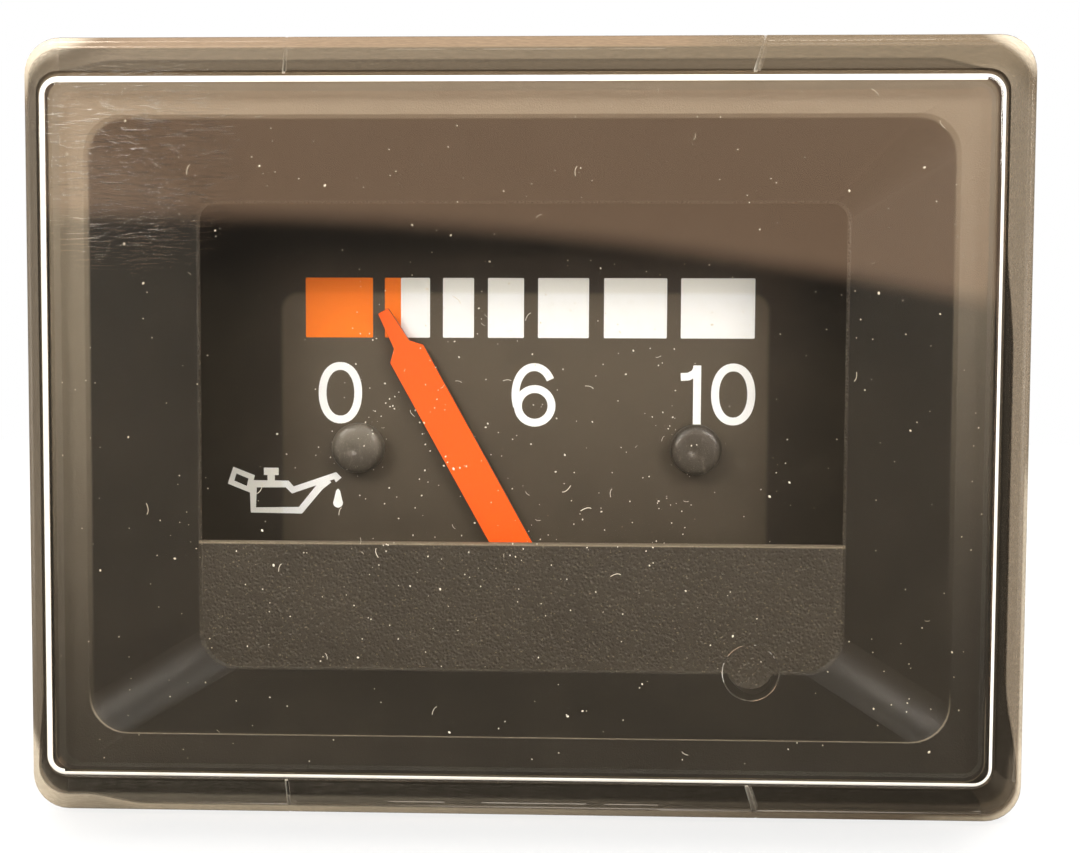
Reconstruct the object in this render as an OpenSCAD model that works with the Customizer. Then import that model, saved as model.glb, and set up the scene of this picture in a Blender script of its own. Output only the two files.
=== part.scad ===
// Rectangular dashboard oil pressure gauge, 72 x 56 mm over the rim, 0 to 10 bar.
// X runs to the right of the dial, Y runs into the gauge and Z is up.
// The origin is midway between the two rear fixing studs, on the face that the clamp seats on.
// Places along Y are worked out as depths behind the front face of the clear cover.

/* [Overall] */
// Front face of the cover to the clamp seat at the back
total_depth = 44; // [42:0.5:52]
// Gap between moulded pieces that fit into each other
fit_gap = 0.15; // [0.1:0.05:0.25]
// Gap left around pins, studs and bosses that are pressed in
press_gap = 0.02; // [0.01:0.01:0.04]
// Gap left around leads, pins and blades that are soldered in
solder_gap = 0.05; // [0.03:0.01:0.1]
// Bevel of small turned edges
small_bevel = 0.3; // [0.15:0.05:0.4]

/* [Clear cover] */
// Width over the rim
rim_w = 72; // [70:0.5:78]
// Height over the rim
rim_h = 56; // [55:0.5:62]
// Corner radius of the rim
rim_r = 2.9; // [2.4:0.1:4]
// Spread of the flare at the left and right
flare_side = 5.75; // [4:0.05:6]
// Spread of the flare at the top and bottom
flare_end = 5.6; // [4:0.1:6]
// Corner radius of the front face
face_r = 1.6; // [1.2:0.1:2.4]
// Rounding between the front face and the flared sides
face_edge_r = 0.35; // [0.2:0.05:0.5]
// Depth of the flared part
flare_depth = 11; // [10:0.25:13]
// Length of the straight skirt behind the flare
skirt_len = 3; // [2.4:0.1:4]
// Thickness of the lens
lens_t = 1.8; // [1.4:0.1:2.2]
// Thickness of the flared walls just behind the lens, measured sideways
flare_t = 1.2; // [0.9:0.1:1.4]
// Thickness of the skirt
skirt_t = 1.1; // [0.8:0.1:1.3]
// Width of the snap tongues in the long walls, at the front face
tongue_w = 30; // [26:0.5:34]
// Width of the snap tongues at the rim
tongue_end_w = 34; // [30:0.5:38]
// Width of the slits beside the tongues
slit_w = 0.3; // [0.2:0.05:0.5]
// How far the slits reach into the edge of the lens
slit_bite = 0.6; // [0.3:0.1:0.8]
// Width of the hooks on the tongues
hook_w = 20; // [12:1:24]
// Height of the hooks
hook_h = 0.5; // [0.3:0.05:0.7]
// Length of the hooks, front to back
hook_len = 1.5; // [1.2:0.1:1.8]
// Length of the slope that lets the hooks ride over the housing
hook_lead = 0.4; // [0.2:0.1:0.8]
// Length of the hooks' flat crest
hook_crest = 0.2; // [0.1:0.05:0.3]
// Distance of the hooks from the end of the skirt
hook_inset = 0.5; // [0.3:0.1:0.8]
// Place of the round gate mark inside the lens, to the right of the centre
gate_x = 15.2; // [10:0.1:18]
// Height of the gate mark's middle below the centre of the rim
gate_drop = 15.47; // [13:0.1:16.5]
// Radius of the gate mark
gate_r = 1.85; // [1.2:0.05:2.2]
// Height of the gate mark
gate_h = 0.12; // [0.08:0.02:0.2]

/* [Bezel mask] */
// Width of the flat rim at the left and right of the funnel mouth
band_side = 1.75; // [1.3:0.05:2.5]
// Width of the flat rim above and below the funnel mouth
band_end = 1.85; // [1.3:0.05:2.5]
// Height of the centre of the mouth above the centre of the rim
mouth_z = 0.15; // [0:0.05:0.3]
// Corner radius of the mouth
mouth_r = 2.5; // [1.8:0.1:3.2]
// Depth of the funnel
funnel_depth = 5.2; // [4.6:0.1:5.8]
// Spread of the funnel's side slopes
slope_side = 6.05; // [5:0.05:7]
// Spread of the funnel's upper slope
slope_top = 4.8; // [4:0.1:5.5]
// Spread of the funnel's lower slope
slope_bottom = 3.5; // [3:0.1:4.5]
// Height of the shelf panel's top edge above the pointer's pivot
shelf_rise = 3; // [2:0.1:3.6]
// Corner radius at the bottom of the shelf panel
panel_r = 2.6; // [1.8:0.1:3]
// Corner radius at the top of the window
window_r = 1.1; // [0.6:0.1:2]
// Thickness of the bezel
bezel_t = 1.5; // [1.2:0.1:1.8]
// Rounding of the outer edge of the bezel's rim
bezel_edge_r = 0.3; // [0.2:0.05:0.4]
// Place of the round flat in the lower slope, to the right of the centre
flat_x = 15.86; // [10:0.1:18]
// Height of the round flat's middle above the bottom of the shelf panel
flat_rise = 0.5; // [0:0.1:1]
// Radius of the round flat
flat_r = 1.65; // [1.2:0.05:2]

/* [Dial and pointer] */
// Depth of the dial's face
dial_depth = 18; // [17:0.25:20]
// Thickness of the dial
dial_t = 0.8; // [0.5:0.1:1.2]
// Corner radius of the dial
dial_r = 2; // [1:0.1:3]
// Radius of the dial's hole around the spindle
dial_hole_r = 2.5; // [2:0.1:3]
// Width of each light notch in the dial's top edge
notch_w = 20; // [12:1:22]
// Depth of the light notches
notch_h = 3.2; // [2:0.1:4]
// Distance between the two light notches
notch_gap = 8; // [6:1:12]
// Height of the pointer's pivot above the dial's bottom edge
pivot_rise = 13.15; // [12.5:0.05:13.8]
// Angle of the pointer at rest, to the left of upright
rest_angle = 29.1; // [0:0.1:40]
// Pivot to the pointer's tip
pointer_len = 22.4; // [20:0.1:24]
// Width of the pointer's blade
blade_w = 2.9; // [2:0.1:3.4]
// Pivot to the bevelled shoulder of the blade
shoulder_len = 18.7; // [16:0.1:19.5]
// Length of the bevelled shoulder
shoulder_bevel = 0.8; // [0.4:0.1:1.4]
// Width of the narrow end next to the shoulder
neck_w = 1.34; // [1:0.02:1.8]
// Width of the tip
tip_w = 0.9; // [0.6:0.05:1.2]
// Thickness of the blade
blade_t = 0.5; // [0.3:0.05:0.7]
// Gap between the blade and the dial
blade_lift = 0.9; // [0.6:0.1:1.2]
// Length of the blade's tail
tail_len = 6.4; // [5.5:0.1:7]
// Bevel of the tail's corners
tail_bevel = 0.8; // [0.4:0.1:1.2]
// Radius of the pointer's hub
hub_r = 3.2; // [2.6:0.1:3.6]
// Radius of the hub's boss, which fills the hole in the blade
boss_r = 1; // [0.9:0.05:1.2]
// Height of the boss in front of the blade
boss_h = 0.8; // [0.6:0.1:1]
// Thickness of the boss in front of the spindle
boss_cap = 0.5; // [0.3:0.1:0.6]
// Radius of the blade's disc on the hub
disc_r = 2.6; // [2:0.1:3]
// Radius of the counterweight on the tail
weight_r = 1.7; // [1.2:0.1:2]
// Thickness of the counterweight
weight_t = 0.9; // [0.5:0.1:1.1]
// Distance of each stop peg from the dial's upright centre line
peg_x = 12.87; // [12:0.1:14]
// Height of the stop pegs above the pointer's pivot
peg_rise = 9.18; // [8.6:0.02:9.6]
// Radius of a stop peg's head
peg_r = 1.9; // [1.5:0.05:2]
// Height of the dome on a stop peg
dome_h = 0.6; // [0.4:0.05:0.8]
// How far the straight side of a stop peg stands in front of the blade
peg_over = 0.1; // [0:0.05:0.3]
// Radius of a stop peg's shank
shank_r = 1; // [0.8:0.05:1.2]
// Length of a stop peg's shank behind the dial
shank_len = 5; // [3:0.5:8]
// Length of the bevel at the shank's end
shank_bevel = 0.5; // [0.3:0.1:0.8]

/* [Movement] */
// Radius of the spindle
spindle_r = 0.6; // [0.5:0.05:0.7]
// Running clearance around the spindle
running_gap = 0.04; // [0.02:0.01:0.08]
// Radius of the rotor magnet
magnet_r = 4.4; // [3.8:0.1:4.5]
// Thickness of the rotor magnet
magnet_t = 3.4; // [2.6:0.1:3.8]
// Clearance around the rotor magnet
magnet_gap = 0.5; // [0.3:0.05:0.6]
// Half the width of the bobbin's body
bobbin_half = 5.8; // [5.7:0.1:6.2]
// Half the length of the bobbin's body along the spindle
bobbin_reach = 4; // [3.8:0.1:4.4]
// Distance of the bobbin's corner posts from the spindle, along X and along Z
post_off = 6.4; // [6.3:0.1:6.6]
// Radius of the corner posts
post_r = 1.1; // [1:0.05:1.15]
// Distance of the posts' front ends from the can's open edge
post_inset = 0.6; // [0.3:0.1:1]
// Rounding of the bobbin's corners
bobbin_edge_r = 0.6; // [0.3:0.1:0.8]
// Thickness of each winding
coil_t = 1.4; // [1:0.1:1.5]
// Gap left between the halves of a winding for the spindle
coil_split = 2.6; // [2.2:0.1:3]
// Width of half a winding
coil_w = 3.9; // [3:0.1:3.9]
// Rounding of the windings' outer corners
coil_corner_r = 1.2; // [0.8:0.1:1.4]
// Gap between the windings and what they are wound on
coil_gap = 0.05; // [0.05:0.01:0.08]
// Radius of the bearing bushes
bush_r = 1.1; // [1:0.05:1.2]
// Thickness of the floor of the rear bush
bush_floor_t = 0.45; // [0.3:0.05:0.6]
// End float of the spindle
end_float = 0.05; // [0.03:0.01:0.1]
// Thickness of the shield can
can_t = 0.6; // [0.4:0.1:0.8]
// Clearance inside the shield can
can_gap = 0.25; // [0.2:0.05:0.4]
// Gap between the back of the dial and the shield can
can_front_gap = 1.4; // [0.8:0.1:2]
// Gap between the can's open edge and the outer winding
can_lead = 0.4; // [0.2:0.1:0.8]
// Gap between the outer winding and the can's floor
can_floor_gap = 0.5; // [0.3:0.1:0.8]
// Radius of the bobbin's contact pins
pin_r = 0.35; // [0.25:0.05:0.45]
// Clearance of the contact pins in the can and the light box
pin_gap = 0.5; // [0.3:0.1:0.6]

/* [Light box and board] */
// Gap between the light box and the housing's walls
box_gap = 0.4; // [0.3:0.05:0.5]
// Thickness of the light box's walls
box_t = 1.2; // [1:0.1:1.4]
// Thickness of the light box's floor
box_floor_t = 1.5; // [1.2:0.1:2]
// Outer corner radius of the light box
box_r = 1.5; // [1:0.1:2]
// Inner corner radius of the light box
box_in_r = 0.6; // [0.4:0.1:1]
// Outer radius of the pillars that take the stop pegs
pillar_r = 2.2; // [1.8:0.1:2.4]
// Depth left in the pillars behind the stop pegs' shanks
pillar_spare = 0.6; // [0.3:0.1:1.5]
// Thickness of the cup around the shield can
cup_t = 1.1; // [0.8:0.1:1.3]
// Depth of the cup around the shield can
cup_len = 4; // [2:0.5:6]
// Gap between the circuit board and the heads of the fixing studs
board_gap = 0.2; // [0.1:0.1:1]
// Height of the board's top edge above the pointer's pivot
board_rise = 12.6; // [12:0.1:13.4]
// Gap between the board's bottom edge and the outline of the light box
board_margin = 0.75; // [0.2:0.05:1.2]
// Thickness of the board
board_t = 1.6; // [1.5:0.1:2]
// Corner radius of the board
board_r = 1; // [0.5:0.1:1.5]
// Gap between the soldered ends and the back wall
trim_gap = 0.3; // [0.2:0.1:0.6]
// Radius of the ballast resistor
resistor_r = 2.2; // [1.5:0.1:2.4]
// Length of the ballast resistor
resistor_len = 11; // [8:0.5:13]
// Distance of the ballast resistor from the upright centre line
resistor_x = 16.4; // [16:0.1:17]
// Height of the ballast resistor's middle below the pointer's pivot
resistor_drop = 3.4; // [1:0.1:4.4]
// Gap between the ballast resistor and the light box's floor
resistor_lift = 0.6; // [0.4:0.1:0.9]
// Radius of the resistor's leads
lead_r = 0.35; // [0.25:0.05:0.45]
// Distance of the leads' bends from the ends of the resistor
lead_bend = 1; // [0.6:0.1:1.4]
// Clearance of the leads in the light box
lead_gap = 0.3; // [0.2:0.1:0.5]

/* [Rear housing] */
// Thickness of the housing's side walls
wall_t = 2; // [1.7:0.1:2.2]
// Thickness of the back wall
back_t = 1.4; // [1.2:0.1:2]
// Draft of each side of the housing, front to back
draft = 0.6; // [0.2:0.1:0.8]
// Thickness of the seal between the bezel and the housing
seal_t = 0.8; // [0.5:0.1:1.2]
// Corner radius inside the housing
cavity_r = 1.2; // [0.8:0.1:1.6]
// Height of the guide ribs on the outside
rib_h = 0.35; // [0.2:0.05:0.4]
// Width of the guide ribs
rib_w = 1.2; // [0.8:0.1:2]
// Distance between the guide ribs of one side
rib_pitch = 11; // [8:0.5:12]
// Gap between the skirt and the front ends of the guide ribs, where the panel sits
rib_front_gap = 2.5; // [2.2:0.1:4]
// Distance of the ribs' rear ends from the back wall
rib_back_gap = 4; // [2:0.5:8]
// Clearance around the cover's hooks in their grooves
groove_gap = 0.3; // [0.2:0.05:0.4]
// Height of the seats around the studs
seat_h = 0.6; // [0.4:0.1:1]
// Radius of the seats around the studs
seat_r = 4.6; // [4:0.1:5.2]
// Radius of the rim around the bulb holder's hole
collar_r = 8.6; // [8.2:0.1:9]
// Height of the rim around the bulb holder's hole
collar_h = 0.3; // [0.2:0.05:0.35]
// Radius of a rear screw's head
screw_head_r = 2.6; // [2.2:0.1:3]
// Height of a rear screw's head
screw_head_h = 1.6; // [1.2:0.1:2]
// Width of the slot in a rear screw's head
screw_slot_w = 0.7; // [0.5:0.1:0.9]
// Depth of the slot in a rear screw's head
screw_slot_h = 0.8; // [0.5:0.1:1]
// Radius of a rear screw's shank
screw_r = 1.4; // [1.2:0.1:1.6]
// Clearance around the shank in the back wall and the board
screw_gap = 0.2; // [0.1:0.05:0.3]
// Gap between a rear screw's point and the shield can
screw_tip_gap = 1; // [0.5:0.1:1.5]
// Distance of each rear screw from the upright centre line
screw_x = 8.2; // [8:0.1:8.6]

/* [Studs and terminals] */
// Distance between the fixing studs
stud_pitch = 44; // [42:0.5:46]
// Radius of the fixing studs
stud_r = 2; // [1.75:0.05:2.5]
// Length of a stud behind the clamp seat
stud_len = 13; // [8:0.5:18]
// Bevel of a stud's end
stud_bevel = 0.6; // [0.4:0.1:1]
// Radius of a stud's thicker shank, which is pressed into the back wall
stud_grip_r = 2.4; // [2.2:0.1:2.8]
// Radius of a stud's head inside the housing
stud_head_r = 3.3; // [3:0.1:3.4]
// Gap between the stud heads and blades and the light box's floor
head_gap = 0.1; // [0.05:0.05:0.3]
// Width of a terminal blade
tab_w = 6.3; // [4.8:0.1:6.4]
// Thickness of a terminal blade
tab_t = 0.8; // [0.5:0.1:1]
// Length of a blade behind the back wall
tab_len = 8.6; // [7:0.1:11]
// Bevel of a blade's end
tab_bevel = 1; // [0.6:0.1:1.5]
// Clearance around a blade in the back wall
tab_gap = 0.3; // [0.2:0.05:0.5]
// Radius of the hole in a blade
tab_hole_r = 0.75; // [0.5:0.05:1]
// Distance of the hole from the blade's end
tab_hole_back = 3.8; // [3:0.1:4.5]
// Distance of the two outer blades from the upright centre line
tab_x = 11; // [10.6:0.1:12]
// Height of the two outer blades above the board's bottom edge
tab_rise = 4.8; // [4:0.1:5]
// Height of the middle blade above the board's bottom edge
earth_rise = 2.4; // [2:0.1:2.8]

/* [Bulb] */
// Height of the bulb holder's middle below the dial's top edge
bulb_drop = 10.15; // [9.75:0.05:10.35]
// Radius of the bulb holder's barrel
barrel_r = 5; // [4.6:0.1:5.1]
// Gap around the barrel and its ears
barrel_gap = 0.3; // [0.3:0.05:0.4]
// Depth of the barrel in front of the back wall's inner face
barrel_len = 5.6; // [4:0.2:8]
// Radius over the two bayonet ears
ear_r = 6.5; // [6.2:0.1:6.8]
// Width of an ear
ear_w = 3; // [2.4:0.1:3.6]
// Thickness of an ear
ear_t = 1; // [0.8:0.1:1.1]
// Turn that frees the bulb holder
ear_turn = 60; // [50:5:70]
// Gap between the flange and the rim that it covers
flange_gap = 0.1; // [0.05:0.05:0.2]
// Radius of the bulb holder's flange
flange_r = 7.6; // [7.2:0.1:8]
// Thickness of the flange
flange_t = 1.4; // [1:0.1:2]
// Height of the finger grip behind the flange
grip_h = 3.4; // [2.5:0.1:5]
// Length of the finger grip across the flange
grip_len = 12.8; // [11:0.1:13]
// Width of the finger grip
grip_w = 4.2; // [3.6:0.1:5]
// Corner radius of the finger grip
grip_r = 1.2; // [0.8:0.1:1.6]
// Radius of the bulb
bulb_r = 2.5; // [2:0.1:2.6]
// Length of the bulb in front of the barrel
bulb_len = 11; // [8:0.5:12]
// Depth of the bulb's seat in the barrel
bulb_seat = 3; // [2:0.1:4]
// Length of a holder contact behind the grip
contact_len = 4; // [3:0.1:6]
// Depth of a holder contact in the grip
contact_bite = 3; // [2:0.1:3.2]
// Distance of each holder contact from the bulb's centre line
contact_x = 3; // [2.6:0.1:3.6]
// Width of a holder contact
contact_w = 2.8; // [2:0.1:3.4]
// Thickness of a holder contact
contact_t = 0.5; // [0.3:0.1:0.8]

/* [Hidden] */

// Facets of round shapes, and of those that take part in a hull
$fn = 64;
loft_fn = 32;
// Thickness of the slices that a loft is stretched between
slice = 0.01;
// Length by which a cut runs past the face it opens
past = 0.5;

y_face = -total_depth;

// Depths of the moulded shells, front to back
bezel_front = lens_t + fit_gap;
floor_front = bezel_front + funnel_depth;
floor_back = floor_front + bezel_t;
skirt_end = flare_depth + skirt_len;
housing_front = flare_depth + seal_t;
wall_out = total_depth - seat_h;
wall_in = wall_out - back_t;
board_front = wall_in - board_t;
box_floor = board_front - box_floor_t;
dial_back = dial_depth + dial_t;

// Outlines that follow from the rim, from the outside in
inner_rim_w = rim_w - 2 * skirt_t;
inner_rim_h = rim_h - 2 * skirt_t;
inner_rim_r = rim_r - skirt_t;
face_w = rim_w - 2 * flare_side;
face_h = rim_h - 2 * flare_end;
inner_face_w = face_w + 2 * flare_side * lens_t / flare_depth - 2 * flare_t;
inner_face_h = face_h + 2 * flare_end * lens_t / flare_depth - 2 * flare_t;
inner_face_r = face_r - face_edge_r;
bezel_w = inner_face_w - 2 * fit_gap;
bezel_h = inner_face_h - 2 * fit_gap;
mouth_w = bezel_w - 2 * band_side;
mouth_h = bezel_h - 2 * band_end;
window_w = mouth_w - 2 * slope_side;
window_top = mouth_z + mouth_h / 2 - slope_top;
panel_bottom = mouth_z - mouth_h / 2 + slope_bottom;
housing_w = inner_rim_w - 2 * fit_gap;
housing_h = inner_rim_h - 2 * fit_gap;
housing_r = inner_rim_r;
cavity_w = housing_w - 2 * wall_t;
cavity_h = housing_h - 2 * wall_t;
box_w = cavity_w - 2 * draft - 2 * box_gap;
box_h = cavity_h - 2 * draft - 2 * box_gap;

// Heights that follow from the dial's bottom and top edges
pivot_z = pivot_rise - box_h / 2;
peg_z = pivot_z + peg_rise;
shelf_z = pivot_z + shelf_rise;
bulb_z = box_h / 2 - bulb_drop;
board_top = pivot_z + board_rise;
board_bottom = board_margin - box_h / 2;
board_w = stud_pitch - 2 * stud_head_r - 2 * board_gap;

// Depths of the pointer and the movement
blade_back = dial_depth - blade_lift;
blade_front = blade_back - blade_t;
hub_back = dial_depth - blade_lift / 2;
boss_front = blade_front - boss_h;
peg_side = blade_lift + blade_t + peg_over;
wire_reach = bobbin_reach + coil_gap + coil_t;
can_front = dial_back + can_front_gap;
coil_half = wire_reach + coil_gap + coil_t;
magnet_mid = can_front + can_lead + coil_half;
bobbin_back = magnet_mid + bobbin_reach;
pin_front = magnet_mid + bobbin_reach / 2;
can_in = post_off * sqrt(2) + post_r + can_gap;
can_out = can_in + can_t;
can_floor = magnet_mid + coil_half + can_floor_gap;
can_back = can_floor + can_t;
chamber_r = magnet_r + magnet_gap;
chamber_half = magnet_t / 2 + magnet_gap;
bearing_len = bobbin_reach - chamber_half;

// Places on the board and the back
posts = [for (sx = [-1, 1], sz = [-1, 1]) [sx * post_off, pivot_z + sz * post_off]];
screws = [for (s = [-1, 1]) [s * screw_x, pivot_z]];
pegs = [for (s = [-1, 1]) [s * peg_x, peg_z]];
studs = [for (s = [-1, 1]) [s * stud_pitch / 2, 0]];
lead_reach = resistor_len / 2 + lead_bend;
resistor_z = pivot_z - resistor_drop;
leads = [for (s = [-1, 1]) [resistor_x, resistor_z + s * lead_reach]];
supply_place = [-tab_x, board_bottom + tab_rise];
sender_place = [tab_x, board_bottom + tab_rise];
earth_place = [0, board_bottom + earth_rise];
tab_places = [supply_place, sender_place, earth_place];
hook_end = skirt_end - hook_inset;
head_front = board_front + head_gap;

// Depths of the bulb holder
barrel_front = wall_in - barrel_len;
flange_front = wall_out + collar_h + flange_gap;
grip_end = flange_front + flange_t + grip_h;

// A flat shape as seen from the front, given thickness from depth d0 to depth d1
module slab(d0, d1) {
    translate([0, y_face + d1, 0]) rotate([90, 0, 0]) linear_extrude(d1 - d0) children();
}

// A thin slice at depth d, for a loft
module layer(d) {
    slab(d, d + slice) children();
}

// A round bar along the depth, at x and z
module bar(x, z, r, d0, d1) {
    translate([x, y_face + d1, z]) rotate([90, 0, 0]) cylinder(r = r, h = d1 - d0);
}

// A turned shape: its profile gives the radius along x and the depth along y
module turned(x, z) {
    translate([x, y_face, z]) rotate([-90, 0, 0]) rotate_extrude() children();
}

// A rectangle with round corners, centred
module round_rect(w, h, r) {
    square([w - 2 * r, h], center = true);
    square([w, h - 2 * r], center = true);
    for (sx = [-1, 1], sz = [-1, 1]) translate([sx * (w / 2 - r), sz * (h / 2 - r)]) circle(r);
}

// A rectangle between two heights, with one corner radius at the top and one at the bottom
module window_shape(w, top, bottom, r_top, r_bottom) {
    hull() for (sx = [-1, 1]) {
        translate([sx * (w / 2 - r_top), top - r_top]) circle(r_top, $fn = loft_fn);
        translate([sx * (w / 2 - r_bottom), bottom + r_bottom]) circle(r_bottom, $fn = loft_fn);
    }
}

// The same shape on both sides of the upright centre line
module both_sides() {
    children();
    mirror([1, 0, 0]) children();
}

// The same shape above and below the centre line
module top_and_bottom() {
    children();
    mirror([0, 0, 1]) children();
}

// Clear cover: lens, flared walls and skirt, with two snap tongues
module cover_outside() {
    steps = 4;
    hull() {
        for (i = [0 : steps]) {
            a = 90 * i / steps;
            inset = face_edge_r * (1 - sin(a));
            layer(face_edge_r * (1 - cos(a)))
                round_rect(face_w - 2 * inset, face_h - 2 * inset, face_r - inset, $fn = loft_fn);
        }
        layer(flare_depth - slice) round_rect(rim_w, rim_h, rim_r, $fn = loft_fn);
    }
    slab(flare_depth - slice, skirt_end) round_rect(rim_w, rim_h, rim_r, $fn = loft_fn);
}

module cover_inside() {
    hull() {
        layer(lens_t) round_rect(inner_face_w, inner_face_h, inner_face_r, $fn = loft_fn);
        layer(flare_depth - slice)
            round_rect(inner_rim_w, inner_rim_h, inner_rim_r, $fn = loft_fn);
    }
    slab(flare_depth - slice, skirt_end + past)
        round_rect(inner_rim_w, inner_rim_h, inner_rim_r, $fn = loft_fn);
}

module tongue_slit() {
    start = lens_t - slit_bite;
    height = (rim_h - inner_face_h) / 2 + past;
    start_x = (tongue_w + (tongue_end_w - tongue_w) * start / flare_depth) / 2;
    end_x = tongue_end_w / 2;
    translate([0, y_face, inner_face_h / 2]) linear_extrude(height)
        polygon([[start_x - slit_w / 2, start], [start_x + slit_w / 2, start],
                 [end_x + slit_w / 2, flare_depth], [end_x + slit_w / 2, skirt_end + past],
                 [end_x - slit_w / 2, skirt_end + past], [end_x - slit_w / 2, flare_depth]]);
}

module tongue_hook() {
    root = inner_rim_h / 2;
    low = root - hook_h;
    translate([-hook_w / 2, y_face + hook_end, 0]) rotate([90, 0, 90]) linear_extrude(hook_w)
        polygon([[0, root + skirt_t / 2], [0, root], [-hook_lead, low], [-hook_lead - hook_crest, low],
                 [-hook_len, root], [-hook_len, root + skirt_t / 2]]);
}

module clear_cover() {
    color([0.78, 0.75, 0.68, 0.35]) {
        difference() {
            cover_outside();
            cover_inside();
            both_sides() top_and_bottom() tongue_slit();
        }
        top_and_bottom() tongue_hook();
        bar(gate_x, -gate_drop, gate_r, lens_t - past, lens_t + gate_h);
    }
}

// Dust seal: a thin frame squeezed between the bezel and the housing
module dust_seal() {
    color([0.12, 0.12, 0.12]) slab(flare_depth, housing_front) difference() {
        round_rect(housing_w, housing_h, housing_r);
        round_rect(cavity_w, cavity_h, cavity_r);
    }
}

// Bezel mask: flat rim, funnel and shelf panel in one thin moulding
module bezel_block(inset, front, back) {
    edge = bezel_edge_r;
    w0 = bezel_w - 2 * inset;
    h0 = bezel_h - 2 * inset;
    hull() {
        layer(front) round_rect(w0 - 2 * edge, h0 - 2 * edge, inner_face_r, $fn = loft_fn);
        layer(front + edge) round_rect(w0, h0, inner_face_r, $fn = loft_fn);
        layer(flare_depth - slice)
            round_rect(housing_w - 2 * inset, housing_h - 2 * inset, housing_r, $fn = loft_fn);
    }
    slab(flare_depth - slice, back)
        round_rect(housing_w - 2 * inset, housing_h - 2 * inset, housing_r, $fn = loft_fn);
}

module funnel(grow, front, back) {
    hull() {
        layer(front) translate([0, mouth_z])
            round_rect(mouth_w + 2 * grow, mouth_h + 2 * grow, mouth_r + grow, $fn = loft_fn);
        layer(back - slice) window_shape(window_w + 2 * grow, window_top + grow, panel_bottom - grow,
                                         window_r + grow, panel_r + grow);
    }
}

module bezel_mask() {
    color([0.13, 0.12, 0.11]) {
        difference() {
            bezel_block(0, bezel_front, flare_depth);
            bezel_block(bezel_t, bezel_front + bezel_t, flare_depth + past);
            funnel(0, bezel_front - slice, floor_front);
        }
        difference() {
            funnel(bezel_t, bezel_front + slice, floor_back);
            funnel(0, bezel_front - slice, floor_front);
            slab(floor_front - past, floor_back + past)
                window_shape(window_w, window_top, shelf_z, window_r, slice);
            bar(flat_x, panel_bottom + flat_rise, flat_r, bezel_front + slice, floor_front);
        }
    }
}

// Dial plate, with notches that let light past its top edge
module dial_plate() {
    color([0.03, 0.03, 0.03]) slab(dial_depth, dial_back) difference() {
        round_rect(box_w, box_h, dial_r);
        for (s = [-1, 1])
            translate([s * (notch_gap + notch_w) / 2, box_h / 2])
                square([notch_w, 2 * notch_h], center = true);
        translate([0, pivot_z]) circle(dial_hole_r);
        for (p = pegs) translate(p) circle(shank_r + press_gap);
    }
}

// Stop peg: domed head that the blade runs against, with a push-in shank
module stop_peg(place) {
    crown = dial_depth - peg_side - dome_h;
    dome_r = (peg_r * peg_r + dome_h * dome_h) / (2 * dome_h);
    half = asin(peg_r / dome_r);
    end = dial_back + shank_len;
    turned(place[0], place[1]) polygon(concat(
        [for (i = [0 : 10]) let (a = half * i / 10) [dome_r * sin(a), crown + dome_r * (1 - cos(a))]],
        [[peg_r, dial_depth], [shank_r, dial_depth], [shank_r, end - shank_bevel],
         [shank_r - small_bevel, end], [0, end]]));
}

module stop_peg_left() {
    color([0.1, 0.1, 0.1]) stop_peg(pegs[0]);
}

module stop_peg_right() {
    color([0.1, 0.1, 0.1]) stop_peg(pegs[1]);
}

// Things that turn with the pointer are drawn upright about the pivot, then set to the rest angle
module at_rest() {
    translate([0, 0, pivot_z]) rotate([0, -rest_angle, 0]) children();
}

module blade_outline() {
    polygon([[-blade_w / 2, tail_bevel - tail_len], [tail_bevel - blade_w / 2, -tail_len],
             [blade_w / 2 - tail_bevel, -tail_len], [blade_w / 2, tail_bevel - tail_len],
             [blade_w / 2, shoulder_len], [neck_w / 2, shoulder_len + shoulder_bevel],
             [tip_w / 2, pointer_len], [-tip_w / 2, pointer_len],
             [-neck_w / 2, shoulder_len + shoulder_bevel], [-blade_w / 2, shoulder_len]]);
    circle(disc_r);
}

module pointer_blade() {
    color([1, 0.33, 0.08]) at_rest() slab(blade_front, blade_back) difference() {
        blade_outline();
        circle(boss_r + press_gap);
    }
}

module pointer_hub() {
    color([0.08, 0.08, 0.08]) at_rest() turned(0, 0)
        polygon([[spindle_r, boss_front + boss_cap], [0, boss_front + boss_cap], [0, boss_front],
                 [boss_r - small_bevel, boss_front], [boss_r, boss_front + small_bevel],
                 [boss_r, blade_back],
                 [hub_r, blade_back], [hub_r, hub_back], [spindle_r, hub_back]]);
}

module pointer_counterweight() {
    color([0.75, 0.6, 0.3]) at_rest() turned(0, weight_r - tail_len)
        polygon([[0, blade_front - weight_t], [weight_r - small_bevel, blade_front - weight_t],
                 [weight_r, blade_front - weight_t + small_bevel], [weight_r, blade_front],
                 [0, blade_front]]);
}

// Spindle: runs in the two bushes and carries the magnet and the hub
module spindle() {
    end = bobbin_back - bush_floor_t - end_float;
    color([0.8, 0.8, 0.82]) at_rest() turned(0, 0)
        polygon([[0, boss_front + boss_cap], [spindle_r, boss_front + boss_cap],
                 [spindle_r, end - small_bevel], [spindle_r - small_bevel, end], [0, end]]);
}

module rotor_magnet() {
    color([0.25, 0.25, 0.27]) at_rest() turned(0, 0)
        translate([spindle_r, magnet_mid - magnet_t / 2]) square([magnet_r - spindle_r, magnet_t]);
}

// Bobbin: two halves that close round the magnet and carry the crossed windings
module bobbin_half_shape(d0, d1, post0, post1) {
    translate([0, 0, pivot_z]) slab(d0, d1)
        round_rect(2 * bobbin_half, 2 * bobbin_half, bobbin_edge_r);
    for (p = posts) bar(p[0], p[1], post_r, post0, post1);
}

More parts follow.
